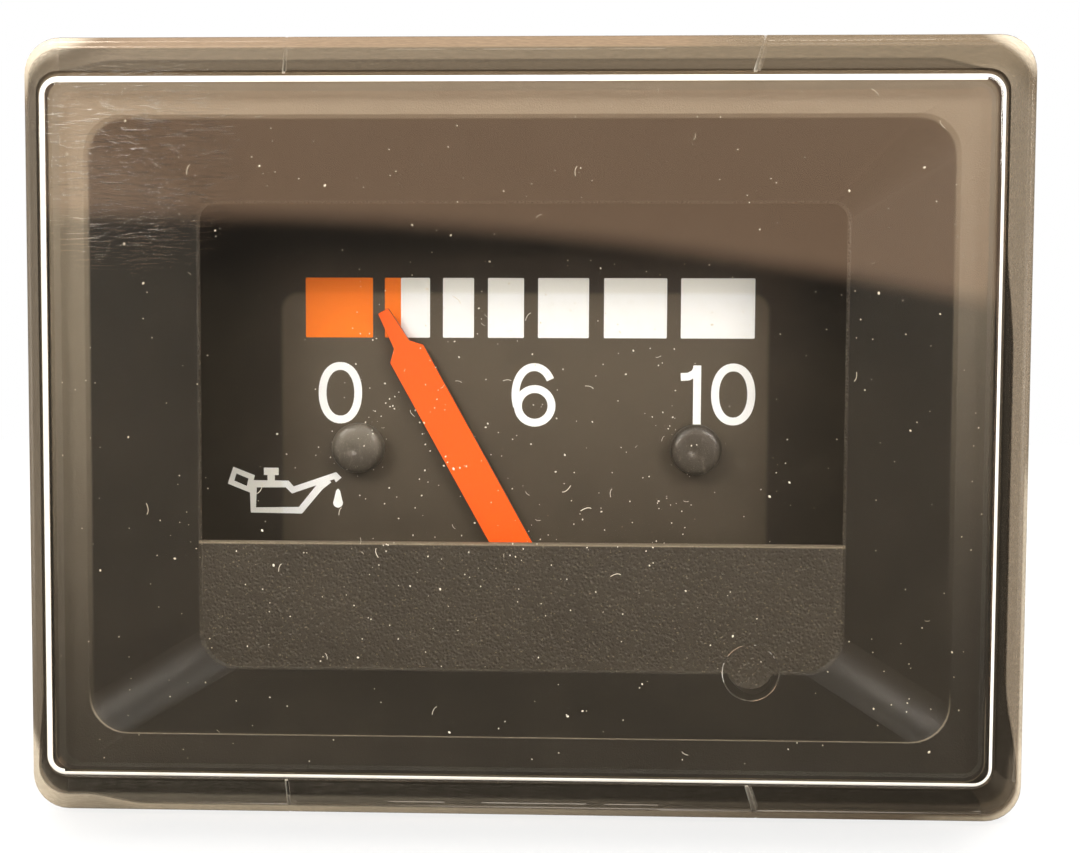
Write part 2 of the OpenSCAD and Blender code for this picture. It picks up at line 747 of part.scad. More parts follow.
module front_bobbin() {
    color([0.85, 0.82, 0.74]) difference() {
        bobbin_half_shape(magnet_mid - bobbin_reach, magnet_mid, can_front + post_inset, magnet_mid);
        bar(0, pivot_z, chamber_r, magnet_mid - chamber_half, magnet_mid + past);
        bar(0, pivot_z, bush_r, magnet_mid - bobbin_reach - past, magnet_mid);
    }
}

module rear_bobbin() {
    color([0.85, 0.82, 0.74]) difference() {
        bobbin_half_shape(magnet_mid, bobbin_back, magnet_mid, can_floor);
        bar(0, pivot_z, chamber_r, magnet_mid - past, magnet_mid + chamber_half);
        bar(0, pivot_z, bush_r, magnet_mid, bobbin_back + past);
        for (p = posts) bar(p[0], p[1], pin_r, pin_front, can_floor + past);
    }
}

module bearing_bushes() {
    bore_r = spindle_r + running_gap;
    color([0.78, 0.62, 0.3]) {
        turned(0, pivot_z) translate([bore_r, magnet_mid - bobbin_reach])
            square([bush_r - bore_r, bearing_len]);
        turned(0, pivot_z)
            polygon([[bore_r, magnet_mid + chamber_half], [bush_r, magnet_mid + chamber_half],
                     [bush_r, bobbin_back], [0, bobbin_back], [0, bobbin_back - bush_floor_t],
                     [bore_r, bobbin_back - bush_floor_t]]);
    }
}

// A winding: two flat loops around the bobbin, one on each side of the spindle
module winding(half_w, half_d) {
    mid = y_face + magnet_mid;
    for (s = [-1, 1])
        translate([0, mid, s * (coil_split + coil_w) / 2 - coil_w / 2])
            linear_extrude(coil_w) difference() {
                round_rect(2 * (half_w + coil_t), 2 * (half_d + coil_t), coil_corner_r);
                round_rect(2 * half_w, 2 * half_d, 2 * coil_gap);
            }
}

module inner_coil() {
    color([0.72, 0.4, 0.2]) translate([0, 0, pivot_z])
        winding(bobbin_half + coil_gap, bobbin_reach + coil_gap);
}

module outer_coil() {
    color([0.65, 0.35, 0.18]) translate([0, 0, pivot_z]) rotate([0, 90, 0])
        winding(bobbin_half + coil_gap, wire_reach + coil_gap);
}

module shield_can() {
    color([0.7, 0.7, 0.72]) difference() {
        turned(0, pivot_z)
            polygon([[can_in, can_front], [can_out, can_front], [can_out, can_back - can_t],
                     [can_out - can_t, can_back], [0, can_back], [0, can_floor], [can_in, can_floor]]);
        for (p = posts) bar(p[0], p[1], pin_r + pin_gap, can_floor - past, can_back + past);
    }
}

module coil_pins() {
    color([0.8, 0.8, 0.8]) for (p = posts) bar(p[0], p[1], pin_r, pin_front, wall_in - trim_gap);
}

// Light box: white tray that carries the dial, the stop pegs and the movement
module light_box() {
    color([0.9, 0.9, 0.86]) difference() {
        union() {
            slab(dial_back, board_front) difference() {
                round_rect(box_w, box_h, box_r);
                round_rect(box_w - 2 * box_t, box_h - 2 * box_t, box_in_r);
            }
            slab(box_floor, board_front) round_rect(box_w, box_h, box_r);
            bar(0, pivot_z, can_out + cup_t, can_back - cup_len, board_front);
            for (p = pegs) bar(p[0], p[1], pillar_r, dial_back, board_front);
        }
        bar(0, pivot_z, can_out + press_gap, dial_back, can_back);
        for (p = pegs)
            bar(p[0], p[1], shank_r + press_gap, dial_back - past, dial_back + shank_len + pillar_spare);
        for (p = screws) bar(p[0], p[1], screw_r, can_back - past, board_front + past);
        for (p = leads) bar(p[0], p[1], lead_r + lead_gap, box_floor - past, board_front + past);
        for (p = posts) bar(p[0], p[1], pin_r + pin_gap, can_back - past, board_front + past);
        bar(0, bulb_z, barrel_r + barrel_gap, box_floor - past, board_front + past);
    }
}

// Circuit board, flat on the back wall
module circuit_board() {
    color([0.55, 0.42, 0.2]) slab(board_front, wall_in) difference() {
        translate([0, (board_top + board_bottom) / 2])
            round_rect(board_w, board_top - board_bottom, board_r);
        for (p = screws) translate(p) circle(screw_r + screw_gap);
        for (p = posts) translate(p) circle(pin_r + solder_gap);
        for (p = leads) translate(p) circle(lead_r + solder_gap);
        for (p = tab_places)
            translate(p) square([tab_w + 2 * solder_gap, tab_t + 2 * solder_gap], center = true);
    }
}

// Ballast resistor, with its two leads bent down to the board
module ballast_resistor() {
    mid = box_floor - resistor_r - resistor_lift;
    color([0.45, 0.5, 0.42]) {
        translate([resistor_x, y_face + mid, resistor_z]) {
            cylinder(r = resistor_r, h = resistor_len, center = true);
            cylinder(r = lead_r, h = 2 * lead_reach, center = true);
        }
        for (p = leads) {
            translate([p[0], y_face + mid, p[1]]) sphere(lead_r);
            bar(p[0], p[1], lead_r, mid, wall_in - trim_gap);
        }
    }
}

// Rear housing: drafted box with guide ribs, stud seats and the bulb holder's bayonet hole
module housing_shell(w, h, r, front, back, taper) {
    hull() {
        layer(front) round_rect(w, h, r, $fn = loft_fn);
        layer(back - slice) round_rect(w - 2 * taper, h - 2 * taper, r, $fn = loft_fn);
    }
}

module bayonet_notches() {
    rotate(-ear_turn) square([2 * (ear_r + barrel_gap), ear_w + 2 * barrel_gap], center = true);
}

module guide_rib(x) {
    slab(skirt_end + rib_front_gap, wall_out - rib_back_gap)
        translate([x - rib_w / 2, housing_h / 2 - wall_t / 2]) square([rib_w, wall_t / 2 + rib_h]);
}

module hook_groove() {
    translate([-hook_w / 2 - groove_gap, y_face + hook_end - hook_len - groove_gap,
               housing_h / 2 - hook_h])
        cube([hook_w + 2 * groove_gap, hook_len + 2 * groove_gap, hook_h + past]);
}

module rear_housing() {
    color([0.09, 0.09, 0.09]) difference() {
        union() {
            housing_shell(housing_w, housing_h, housing_r, housing_front, wall_out, draft);
            for (p = studs) bar(p[0], p[1], seat_r, wall_in + back_t / 2, total_depth);
            bar(0, bulb_z, collar_r, wall_in + back_t / 2, wall_out + collar_h);
            top_and_bottom() for (i = [-2.5 : 2.5]) guide_rib(i * rib_pitch);
        }
        housing_shell(cavity_w, cavity_h, cavity_r, housing_front - slice, wall_in, draft);
        top_and_bottom() hook_groove();
        for (p = studs) bar(p[0], p[1], stud_grip_r + press_gap, wall_in - past, total_depth + past);
        for (p = screws) bar(p[0], p[1], screw_r + screw_gap, wall_in - past, total_depth + past);
        bar(0, bulb_z, barrel_r + barrel_gap, wall_in - past, total_depth + past);
        slab(wall_in - past, total_depth + past) {
            translate([0, bulb_z]) bayonet_notches();
            for (p = tab_places)
                translate(p) square([tab_w + 2 * tab_gap, tab_t + 2 * tab_gap], center = true);
        }
    }
}

// Terminal blade, soldered through the board
module terminal(p) {
    tip = wall_out + tab_len;
    side = tab_w / 2;
    translate([p[0], y_face, p[1] - tab_t / 2]) linear_extrude(tab_t) difference() {
        polygon([[-side, head_front], [side, head_front], [side, tip - tab_bevel],
                 [side - tab_bevel, tip], [tab_bevel - side, tip], [-side, tip - tab_bevel]]);
        translate([0, tip - tab_hole_back]) circle(tab_hole_r);
    }
}

module supply_terminal() {
    color([0.82, 0.76, 0.55]) terminal(supply_place);
}

module sender_terminal() {
    color([0.82, 0.76, 0.55]) terminal(sender_place);
}

module earth_terminal() {
    color([0.82, 0.76, 0.55]) terminal(earth_place);
}

// Fixing studs, pressed into the back wall from inside
module fixing_studs() {
    end = total_depth + stud_len;
    color([0.75, 0.75, 0.76]) for (p = studs)
        turned(p[0], p[1])
            polygon([[0, head_front], [stud_head_r, head_front], [stud_head_r, wall_in],
                     [stud_grip_r, wall_in], [stud_grip_r, total_depth], [stud_r, total_depth],
                     [stud_r, end - stud_bevel], [stud_r - stud_bevel, end], [0, end]]);
}

// Rear screws, which hold the light box and the board to the back wall
module rear_screws() {
    tip = can_back + screw_tip_gap;
    crown = wall_out + screw_head_h;
    color([0.72, 0.72, 0.74]) for (p = screws) difference() {
        turned(p[0], p[1])
            polygon([[0, tip], [screw_r / 2, tip], [screw_r, tip + screw_r / 2],
                     [screw_r, wall_out], [screw_head_r, wall_out],
                     [screw_head_r, wall_out + screw_head_h / 2],
                     [screw_head_r - screw_head_h / 2, crown], [0, crown]]);
        translate([p[0], y_face + crown, p[1]]) rotate([0, 4 * p[0], 0])
            cube([3 * screw_head_r, 2 * screw_slot_h, screw_slot_w], center = true);
    }
}

// Bulb holder: barrel with two bayonet ears, flange and finger grip
module bulb_holder() {
    color([0.2, 0.2, 0.2]) difference() {
        union() {
            bar(0, bulb_z, barrel_r, barrel_front, flange_front + flange_t / 2);
            bar(0, bulb_z, flange_r, flange_front, flange_front + flange_t);
            slab(flange_front + flange_t / 2, grip_end) translate([0, bulb_z])
                round_rect(grip_len, grip_w, grip_r);
            slab(wall_in - barrel_gap - ear_t, wall_in - barrel_gap) translate([0, bulb_z])
                intersection() {
                    circle(ear_r);
                    square([2 * ear_r, ear_w], center = true);
                }
        }
        bar(0, bulb_z, bulb_r + press_gap, barrel_front - past, barrel_front + bulb_seat);
        slab(grip_end - contact_bite, grip_end + past) translate([0, bulb_z]) contact_pair(press_gap);
    }
}

module contact_pair(grow) {
    for (s = [-1, 1]) translate([s * contact_x, 0])
        square([contact_w + 2 * grow, contact_t + 2 * grow], center = true);
}

module bulb_contacts() {
    color([0.82, 0.76, 0.55]) slab(grip_end - contact_bite, grip_end + contact_len)
        translate([0, bulb_z]) contact_pair(0);
}

module bulb_glass() {
    base = barrel_front + bulb_seat;
    tip = barrel_front - bulb_len;
    color([0.95, 0.95, 0.9, 0.4]) turned(0, bulb_z)
        polygon(concat([for (a = [0 : 9 : 90]) [bulb_r * sin(a), tip + bulb_r * (1 - cos(a))]],
                       [[bulb_r, base], [0, base]]));
}

clear_cover();
dust_seal();
bezel_mask();
dial_plate();
stop_peg_left();
stop_peg_right();
pointer_blade();
pointer_hub();
pointer_counterweight();
spindle();
rotor_magnet();
front_bobbin();
rear_bobbin();
bearing_bushes();
inner_coil();
outer_coil();
shield_can();
coil_pins();
light_box();
circuit_board();
ballast_resistor();
rear_housing();
supply_terminal();
sender_terminal();
earth_terminal();
fixing_studs();
rear_screws();
bulb_holder();
bulb_contacts();
bulb_glass();
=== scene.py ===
"""Looks of a rectangular dashboard oil pressure gauge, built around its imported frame.

Lengths in the classes are millimetres, but for the lamps' and the floor's, which are metres.
A depth runs from the front face of the clear cover towards the back, and spot() turns a place
on the dial and a depth into a point of the frame.
"""
import logging
import math
from collections.abc import Callable, Iterable, Sequence
from dataclasses import dataclass
from enum import Enum
from functools import cached_property

import bmesh
import bpy
from mathutils import Matrix, Vector


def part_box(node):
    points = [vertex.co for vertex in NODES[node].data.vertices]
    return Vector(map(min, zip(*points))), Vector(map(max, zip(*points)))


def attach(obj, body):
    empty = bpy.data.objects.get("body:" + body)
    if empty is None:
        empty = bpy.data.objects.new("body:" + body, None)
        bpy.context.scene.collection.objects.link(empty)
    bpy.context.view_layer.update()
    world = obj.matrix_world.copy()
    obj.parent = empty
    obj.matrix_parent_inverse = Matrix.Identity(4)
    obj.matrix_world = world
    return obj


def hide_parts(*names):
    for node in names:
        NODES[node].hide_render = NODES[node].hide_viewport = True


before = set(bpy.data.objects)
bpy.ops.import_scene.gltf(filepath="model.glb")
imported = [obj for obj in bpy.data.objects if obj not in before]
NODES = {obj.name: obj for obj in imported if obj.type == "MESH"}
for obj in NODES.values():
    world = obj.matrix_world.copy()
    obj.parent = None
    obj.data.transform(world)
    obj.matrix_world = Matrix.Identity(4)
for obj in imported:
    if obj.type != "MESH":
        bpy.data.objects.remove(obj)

LOG = logging.getLogger("gauge")
MM = 0.001
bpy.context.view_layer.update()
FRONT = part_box("clear_cover")[0].y
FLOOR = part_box("clear_cover")[0].z

Colour = tuple[float, float, float]
Triple = tuple[float, float, float]
Point = tuple[float, float]

WHITE: Colour = (1.0, 1.0, 1.0)
# Left, right and top of the dial's patch of painted glow from the light box, its corner radius, and how
# soft its edge is.
LIGHT_PATCH = (-18.85, 18.35, 10.4, 1.3)
PATCH_EDGE = (0.3, 0.2)
# Scale of a Wave texture whose bands are one unit wide.
WAVE_SCALE = 0.314
# Metres within which vertices are one, in a new mesh and in a copy of a CAD mesh.
WELD = 1e-7
CAD_WELD = 2e-6
# Facets of a CAD mesh that turn by less are one face.
CAD_FLAT = math.radians(0.6)


class Body(Enum):
    """The moving groups of the gauge."""

    CASE = "case"
    POINTER = "pointer"
    BULB = "bulb"


def spot(x: float, depth: float, z: float) -> Vector:
    """Turn a place and a depth into a point of the frame.

    Args:
        x: Millimetres to the right of the middle.
        depth: Millimetres behind the front face of the cover.
        z: Millimetres above the middle.

    Returns:
        The point in metres.
    """
    return Vector((x * MM, FRONT + depth * MM, z * MM))


def middle(node: str) -> tuple[float, float]:
    """Find where a node sits on the dial.

    Args:
        node: Name of the CAD node.

    Returns:
        The x and z of the middle of its box, in millimetres.
    """
    low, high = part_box(node)
    return (low.x + high.x) / 2 / MM, (low.z + high.z) / 2 / MM


def depths(node: str) -> tuple[float, float]:
    """Find how deep a node lies.

    Args:
        node: Name of the CAD node.

    Returns:
        The depths of its front and its back, in millimetres.
    """
    low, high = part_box(node)
    return (low.y - FRONT) / MM, (high.y - FRONT) / MM


def linear(red: int, green: int, blue: int) -> Colour:
    """Turn a colour as a screen shows it into the linear one that shaders take.

    Args:
        red: From 0 to 255.
        green: From 0 to 255.
        blue: From 0 to 255.

    Returns:
        The linear colour.
    """
    def one(value: int) -> float:
        """Turn one channel."""
        part = value / 255
        return part / 12.92 if part <= 0.04045 else ((part + 0.055) / 1.055) ** 2.4

    return one(red), one(green), one(blue)


class Wire:
    """A socket of a shader tree that takes part in arithmetic."""

    def __init__(self, graph: "Graph", socket: bpy.types.NodeSocket) -> None:
        """Keep the tree and the socket."""
        self.graph = graph
        self.socket = socket

    def __add__(self, other: "Wire | float") -> "Wire":
        """Add."""
        return self.graph.maths("ADD", self, other)

    __radd__ = __add__

    def __sub__(self, other: "Wire | float") -> "Wire":
        """Subtract the other."""
        return self.graph.maths("SUBTRACT", self, other)

    def __rsub__(self, other: "Wire | float") -> "Wire":
        """Subtract from the other."""
        return self.graph.maths("SUBTRACT", other, self)

    def __mul__(self, other: "Wire | float") -> "Wire":
        """Multiply."""
        return self.graph.maths("MULTIPLY", self, other)

    __rmul__ = __mul__

    def __truediv__(self, other: "Wire | float") -> "Wire":
        """Divide by the other."""
        return self.graph.maths("DIVIDE", self, other)

    def __rtruediv__(self, other: "Wire | float") -> "Wire":
        """Divide the other by this."""
        return self.graph.maths("DIVIDE", other, self)

    def __or__(self, other: "Wire | float") -> "Wire":
        """Take the larger of the two."""
        return self.graph.maths("MAXIMUM", self, other)

    __ror__ = __or__

    def __abs__(self) -> "Wire":
        """Drop the sign."""
        return self.graph.maths("ABSOLUTE", self)


class Network:
    """A node tree under construction."""

    def __init__(self, tree: bpy.types.NodeTree) -> None:
        """Empty the tree and keep it."""
        tree.nodes.clear()
        self.tree = tree

    def node(self, kind: str, settings: dict | None = None,
             inputs: dict | None = None) -> bpy.types.Node:
        """Add a node.

        Args:
            kind: Blender's name of the node's type.
            settings: Attributes of the node, set first.
            inputs: Values, sockets or wires for its inputs, by name or by number.

        Returns:
            The node.
        """
        made = self.tree.nodes.new(kind)
        for name, value in (settings or {}).items():
            setattr(made, name, value)
        self.feed(made, inputs or {})
        return made

    def feed(self, node: bpy.types.Node, inputs: dict) -> None:
        """Give a node's inputs what they take.

        Args:
            node: The node.
            inputs: Values, sockets or wires, by name or by number.
        """
        for key, value in inputs.items():
            socket = node.inputs[key]
            if isinstance(value, Wire):
                value = value.socket
            if isinstance(value, bpy.types.NodeSocket):
                self.tree.links.new(value, socket)
            elif socket.type == "RGBA" and len(value) == 3:
                socket.default_value = (*value, 1.0)
            else:
                socket.default_value = value


@dataclass(frozen=True)
class Patches:
    """Noise that shows as patches: the size of its lumps, and where it begins and is full."""

    size: float
    begin: float
    full: float
    detail: float = 2.0
    roughness: float = 0.5


class Graph(Network):
    """A shader tree with arithmetic on its sockets."""

    @cached_property
    def place(self) -> Wire:
        """Take the object's own coordinates, in metres."""
        return self.wire("ShaderNodeTexCoord", "Object")

    @cached_property
    def spots(self) -> tuple[Wire, Wire, Wire]:
        """Take the place as spot() does: x, depth and z in millimetres."""
        x, y, z = self.axes(self.place)
        return x / MM, (y - FRONT) / MM, z / MM

    def wire(self, kind: str, output: str | int, settings: dict | None = None,
             inputs: dict | None = None) -> Wire:
        """Add a node and take one of its outputs."""
        return Wire(self, self.node(kind, settings, inputs).outputs[output])

    def maths(self, operation: str, *values: "Wire | float") -> Wire:
        """Add one Math node on numbers or wires."""
        return self.wire("ShaderNodeMath", 0, {"operation": operation}, dict(enumerate(values)))

    def ray(self, kind: str) -> Wire:
        """Be 1 for one kind of ray."""
        return self.wire("ShaderNodeLightPath", kind)

    def blend(self, factor: Wire, first: bpy.types.Node, second: bpy.types.Node) -> bpy.types.Node:
        """Go from one shader to another as a factor goes from 0 to 1."""
        return self.node("ShaderNodeMixShader", None,
                         {0: factor, 1: first.outputs[0], 2: second.outputs[0]})

    def axes(self, vector: Wire) -> tuple[Wire, Wire, Wire]:
        """Split a vector into its three parts."""
        split = self.node("ShaderNodeSeparateXYZ", inputs={0: vector})
        return Wire(self, split.outputs[0]), Wire(self, split.outputs[1]), Wire(self, split.outputs[2])

    def rise(self, value: Wire, start: float, end: float) -> Wire:
        """Go smoothly from 0 at start to 1 at end, which may lie below start."""
        return self.wire("ShaderNodeMapRange", "Result", {"interpolation_type": "SMOOTHSTEP"},
                         {"Value": value, "From Min": start, "From Max": end})

    def stretch(self, factors: Triple, turn: float = 0.0) -> Wire:
        """Scale and turn the place, for patterns that run one way.

        Args:
            factors: Scale along each of the three axes.
            turn: Degrees that the scaled place is turned about the depth.

        Returns:
            The changed place.
        """
        return self.wire("ShaderNodeMapping", 0, None,
                         {"Vector": self.place, "Rotation": (0.0, math.radians(turn), 0.0),
                          "Scale": factors})

    def noise(self, size: float, detail: float = 2.0, roughness: float = 0.5,
              vector: Wire | None = None) -> Wire:
        """Make soft noise.

        Args:
            size: About how wide its lumps are, in millimetres.
            detail: How many times finer noise is laid on it.
            roughness: How strong the finer noise is.
            vector: Where it is taken, or else the place.

        Returns:
            The noise, from 0 to 1.
        """
        return self.wire("ShaderNodeTexNoise", "Fac", None,
                         {"Vector": vector or self.place, "Scale": 1 / (size * MM), "Detail": detail,
                          "Roughness": roughness})

    def patches(self, kind: Patches, vector: Wire | None = None) -> Wire:
        """Be 1 on patches of noise."""
        lumps = self.noise(kind.size, kind.detail, kind.roughness, vector)
        return self.rise(lumps, kind.begin, kind.full)

    def cells(self, size: float, vector: Wire | None = None) -> Wire:
        """Make cells about size millimetres across, as the distance inside each."""
        return self.wire("ShaderNodeTexVoronoi", "Distance", {"feature": "F1"},
                         {"Vector": vector or self.place, "Scale": 1 / (size * MM)})

    def tint(self, factor: Wire, first: "Colour | Wire", second: "Colour | Wire") -> Wire:
        """Blend two colours."""
        return self.wire("ShaderNodeMix", 2, {"data_type": "RGBA"}, {0: factor, 6: first, 7: second})

    def bump(self, height: Wire, distance: float) -> Wire:
        """Turn a height into a bump of distance millimetres."""
        return self.wire("ShaderNodeBump", 0, None, {"Height": height, "Distance": distance * MM})

    def near(self, centre: Point, reach: float) -> Wire:
        """Fall smoothly from a centre, as seen from the front.

        Args:
            centre: The x and z of the centre, in millimetres.
            reach: Distance at which nothing is left, in millimetres.

        Returns:
            1 at the centre, and 0 from the reach on.
        """
        x, _, z = self.spots
        wide, high = x - centre[0], z - centre[1]
        return self.rise(wide * wide + high * high, reach ** 2, 0.0)

    def backlit(self) -> Wire:
        """Find where the light box behind the dial is taken to shine through its thin print, which the
        finishes paint as glow.

        Returns:
            1 there and 0 elsewhere.
        """
        x, _, z = self.spots
        left, right, top, corner = LIGHT_PATCH
        outside, inside = PATCH_EDGE
        aside = abs(x - (left + right) / 2) - ((right - left) / 2 - corner) | 0.0
        above = z - (top - corner) | 0.0
        reach = self.maths("SQRT", aside * aside + above * above)
        return self.rise(reach, corner + outside, corner - inside)


@dataclass(frozen=True)
class Finish:
    """What every finish has: its name, colour and gloss.

    In a finish, a pair of numbers says where a pattern begins and where it is full, and a plain
    factor on a pattern is the share of it that shows.
    """

    name: str
    colour: Colour
    roughness: float = 0.5

    def material(self) -> bpy.types.Material:
        """Build the material once, and give the same one afterwards.

        Returns:
            The material.
        """
        known = bpy.data.materials.get(self.name)
        if known is not None and known.get("gauge_finish"):
            return known
        made = bpy.data.materials.new(self.name)
        made["gauge_finish"] = True
        made.use_nodes = True
        graph = Graph(made.node_tree)
        shader = graph.node("ShaderNodeBsdfPrincipled", None,
                            {"Base Color": self.colour, "Roughness": self.roughness})
        self.dress(graph, shader)
        graph.node("ShaderNodeOutputMaterial", None,
                   {"Surface": self.surface(graph, shader).outputs[0]})
        return made

    def dress(self, graph: Graph, shader: bpy.types.Node) -> None:
        """Add the finish's own pattern.

        Args:
            graph: The material's tree.
            shader: Its Principled shader.
        """

    def surface(self, graph: Graph, shader: bpy.types.Node) -> bpy.types.Node:
        """Give the shader that the surface takes."""
        return shader

    def vary(self, graph: Graph, shader: bpy.types.Node, mask: Wire, other: Colour,
             duller: float) -> None:
        """Blend towards another colour and a duller gloss.

        Args:
            graph: The material's tree.
            shader: Its Principled shader.
            mask: Where the other colour is, from 0 to 1.
            other: The other colour.
            duller: What the roughness gains there.
        """
        graph.feed(shader, {"Base Color": graph.tint(mask, self.colour, other),
                            "Roughness": self.roughness + mask * duller})


@dataclass(frozen=True)
class Moulding(Finish):
    """Moulded plastic with a fine spark-eroded grain, a little mottled and dusty."""

    grain: float = 0.12
    relief: float = 0.012
    worn: Colour = (0.05, 0.045, 0.04)
    specular: float = 0.5
    mottle: Patches = Patches(2.5, 0.35, 0.75, 4.0, 0.6)
    mottle_share: float = 0.6
    specks: Patches = Patches(0.16, 0.68, 0.76, 1.0)
    speck_share: float = 0.35
    duller: float = 0.12

    def dress(self, graph: Graph, shader: bpy.types.Node) -> None:
        """Add grain, mottling and specks of dust.

        Args:
            graph: The material's tree.
            shader: Its Principled shader.
        """
        mask = graph.patches(self.mottle) * self.mottle_share \
            + graph.patches(self.specks) * self.speck_share
        self.vary(graph, shader, mask, self.worn, self.duller)
        height = graph.noise(self.grain, 3.0, 0.6)
        graph.feed(shader, {"Normal": graph.bump(height, self.relief),
                            "Specular IOR Level": self.specular})


@dataclass(frozen=True)
class MaskGrain(Finish):
    """Black bezel plastic: leather grain on the shelf, fine grain on the rim, satin slopes.

    The rim ends and the shelf starts at a depth, and the ledge is the height of the shelf's
    edge. A painted highlight line runs low along the mouth and up the right side of the window,
    at the depths of the two lips. The dust colour also paints a sheen on the rim's upper left,
    light on the shelf's top edge and glints on the grain's tips, along with real dust.
    """

    rim_end: Point = (2.25, 2.1)
    shelf_start: Point = (6.95, 7.05)
    ledge: float = -7.77
    ledge_edge: Point = (0.16, 0.06)
    mouth_lip: float = 2.0
    mouth_line: Point = (0.045, 0.02)
    mouth_below: Point = (-16.0, -19.0)
    window_lip: Point = (7.16, 7.18)
    window_right: Point = (15.0, 20.0)
    # Colour of the dust, which also paints the highlight lines, the sheen and the glints.
    dust: Colour = (0.2, 0.16, 0.11)
    specular: float = 0.25
    relief: float = 0.03
    warp_size: float = 0.5
    warp_reach: float = 0.25
    pebble: float = 0.26
    pebble_edge: Point = (0.15, 0.62)
    film: Patches = Patches(6.0, 0.3, 0.8, 5.0, 0.65)
    film_share: float = 0.04
    # Flecks on the grain's tips: dust, and painted glints.
    tips: Patches = Patches(0.14, 0.66, 0.76, 1.0)
    lit_slant: float = 0.2
    lit_from: Point = (-22.0, 26.0)

    def height(self, graph: Graph, shelf: Wire, rim: Wire) -> Wire:
        """Build the grain's height.

        Args:
            graph: The material's tree.
            shelf: 1 on the shelf and the floor.
            rim: 1 on the flat rim.

        Returns:
            The height, for a bump.
        """
        drift = graph.wire("ShaderNodeTexNoise", "Color", None,
                           {"Vector": graph.place, "Scale": 1 / (self.warp_size * MM)})
        warped = graph.wire("ShaderNodeVectorMath", 0, {"operation": "MULTIPLY_ADD"},
                            {0: drift, 1: (self.warp_reach * MM,) * 3, 2: graph.place})
        leather = graph.rise(graph.cells(self.pebble, warped), *self.pebble_edge) \
            + 0.7 * graph.noise(0.12)
        fine = graph.noise(0.11, 2.0, 0.6)
        satin = graph.noise(0.07, 1.0)
        return shelf * leather + rim * fine * 0.5 + (1 - shelf) * (1 - rim) * satin * 0.12

    def dress(self, graph: Graph, shader: bpy.types.Node) -> None:
        """Grade the grain by depth, lay a film of dust over it and paint light on it in the dust colour.

        Args:
            graph: The material's tree.
            shader: Its Principled shader.
        """
        x, depth, z = graph.spots
        shelf = graph.rise(depth, *self.shelf_start)
        rim = graph.rise(depth, *self.rim_end)
        tips = graph.patches(self.tips)
        # Painted sheen: the rim grows paler towards its upper left, where the light falls.
        upper = graph.rise(z - x * self.lit_slant, *self.lit_from)
        # Painted light with dust: the shelf's top edge, which faces the light above, is paler.
        ledge = graph.rise(abs(z - self.ledge), *self.ledge_edge)
        # Painted highlight: a pale line low along the mouth's lip.
        below = graph.rise(abs(depth - self.mouth_lip), *self.mouth_line) \
            * graph.rise(z, *self.mouth_below)
        # Painted highlight: a pale line up the right side of the window.
        aside = graph.rise(depth, *self.window_lip) * graph.rise(x, *self.window_right)
        mask = graph.patches(self.film) * self.film_share + (tips * 0.6 + 0.1 | ledge) * shelf \
            + rim * (tips * 0.1 + upper * 0.75)
        self.vary(graph, shader, mask | below * 0.7 | aside * 0.6, self.dust, 0.15)
        graph.feed(shader, {"Normal": graph.bump(self.height(graph, shelf, rim), self.relief),
                            "Specular IOR Level": self.specular})


@dataclass(frozen=True)
class SeeThrough(Finish):
    """Clear material that lets the lamps' light pass."""

    index: float = 1.5
    shade: Colour = WHITE

    def surface(self, graph: Graph, shader: bpy.types.Node) -> bpy.types.Node:
        """Refract every ray but those that look for a lamp.

        Args:
            graph: The material's tree.
            shader: Its Principled shader.

        Returns:
            The shader that lets those rays pass.
        """
        graph.feed(shader, {"Transmission Weight": 1.0, "IOR": self.index})
        clear = graph.node("ShaderNodeBsdfTransparent", None, {"Color": self.shade})
        return graph.blend(graph.ray("Is Shadow Ray"), shader, clear)


@dataclass(frozen=True)
class ClearPlastic(SeeThrough):
    """Clear acrylic, grimy on the flare outside the lens and scuffed at one corner."""

    index: float = 1.49
    shade: Colour = (0.99, 0.988, 0.983)
    lens: Point = (30.4, 22.3)
    lens_edge: float = 0.25
    grime: Colour = (0.6, 0.5, 0.38)
    streaks: Patches = Patches(0.5, 0.3, 0.7, 3.0, 0.6)
    streak_run: Triple = (0.12, 1.0, 0.5)
    smears: Patches = Patches(3.0, 0.5, 0.85, 4.0, 0.7)
    scratches: Patches = Patches(0.1, 0.6, 0.68, 1.0)
    scratch_run: Triple = (0.05, 1.0, 1.0)
    scratch_turn: float = 42.0
    scratch_relief: float = 0.004
    scuff: tuple[Point, float] = ((-25.0, 18.0), 9.0)

    def dress(self, graph: Graph, shader: bpy.types.Node) -> None:
        """Add grime, smears and scratches.

        Args:
            graph: The material's tree.
            shader: Its Principled shader.
        """
        x, _, z = graph.spots
        flank = graph.rise((abs(x) - self.lens[0]) | (abs(z) - self.lens[1]), 0.0, self.lens_edge)
        mottle = graph.patches(self.streaks, graph.stretch(self.streak_run)) * 0.45 + 0.55
        scratched = graph.patches(self.scratches, graph.stretch(self.scratch_run, self.scratch_turn))
        scratch = scratched * graph.near(*self.scuff)
        graph.feed(shader, {
            "Base Color": graph.tint(flank * mottle, self.colour, self.grime),
            "Roughness": self.roughness + 0.03 * graph.patches(self.smears) + 0.09 * scratch,
            "Normal": graph.bump(scratch, self.scratch_relief)})


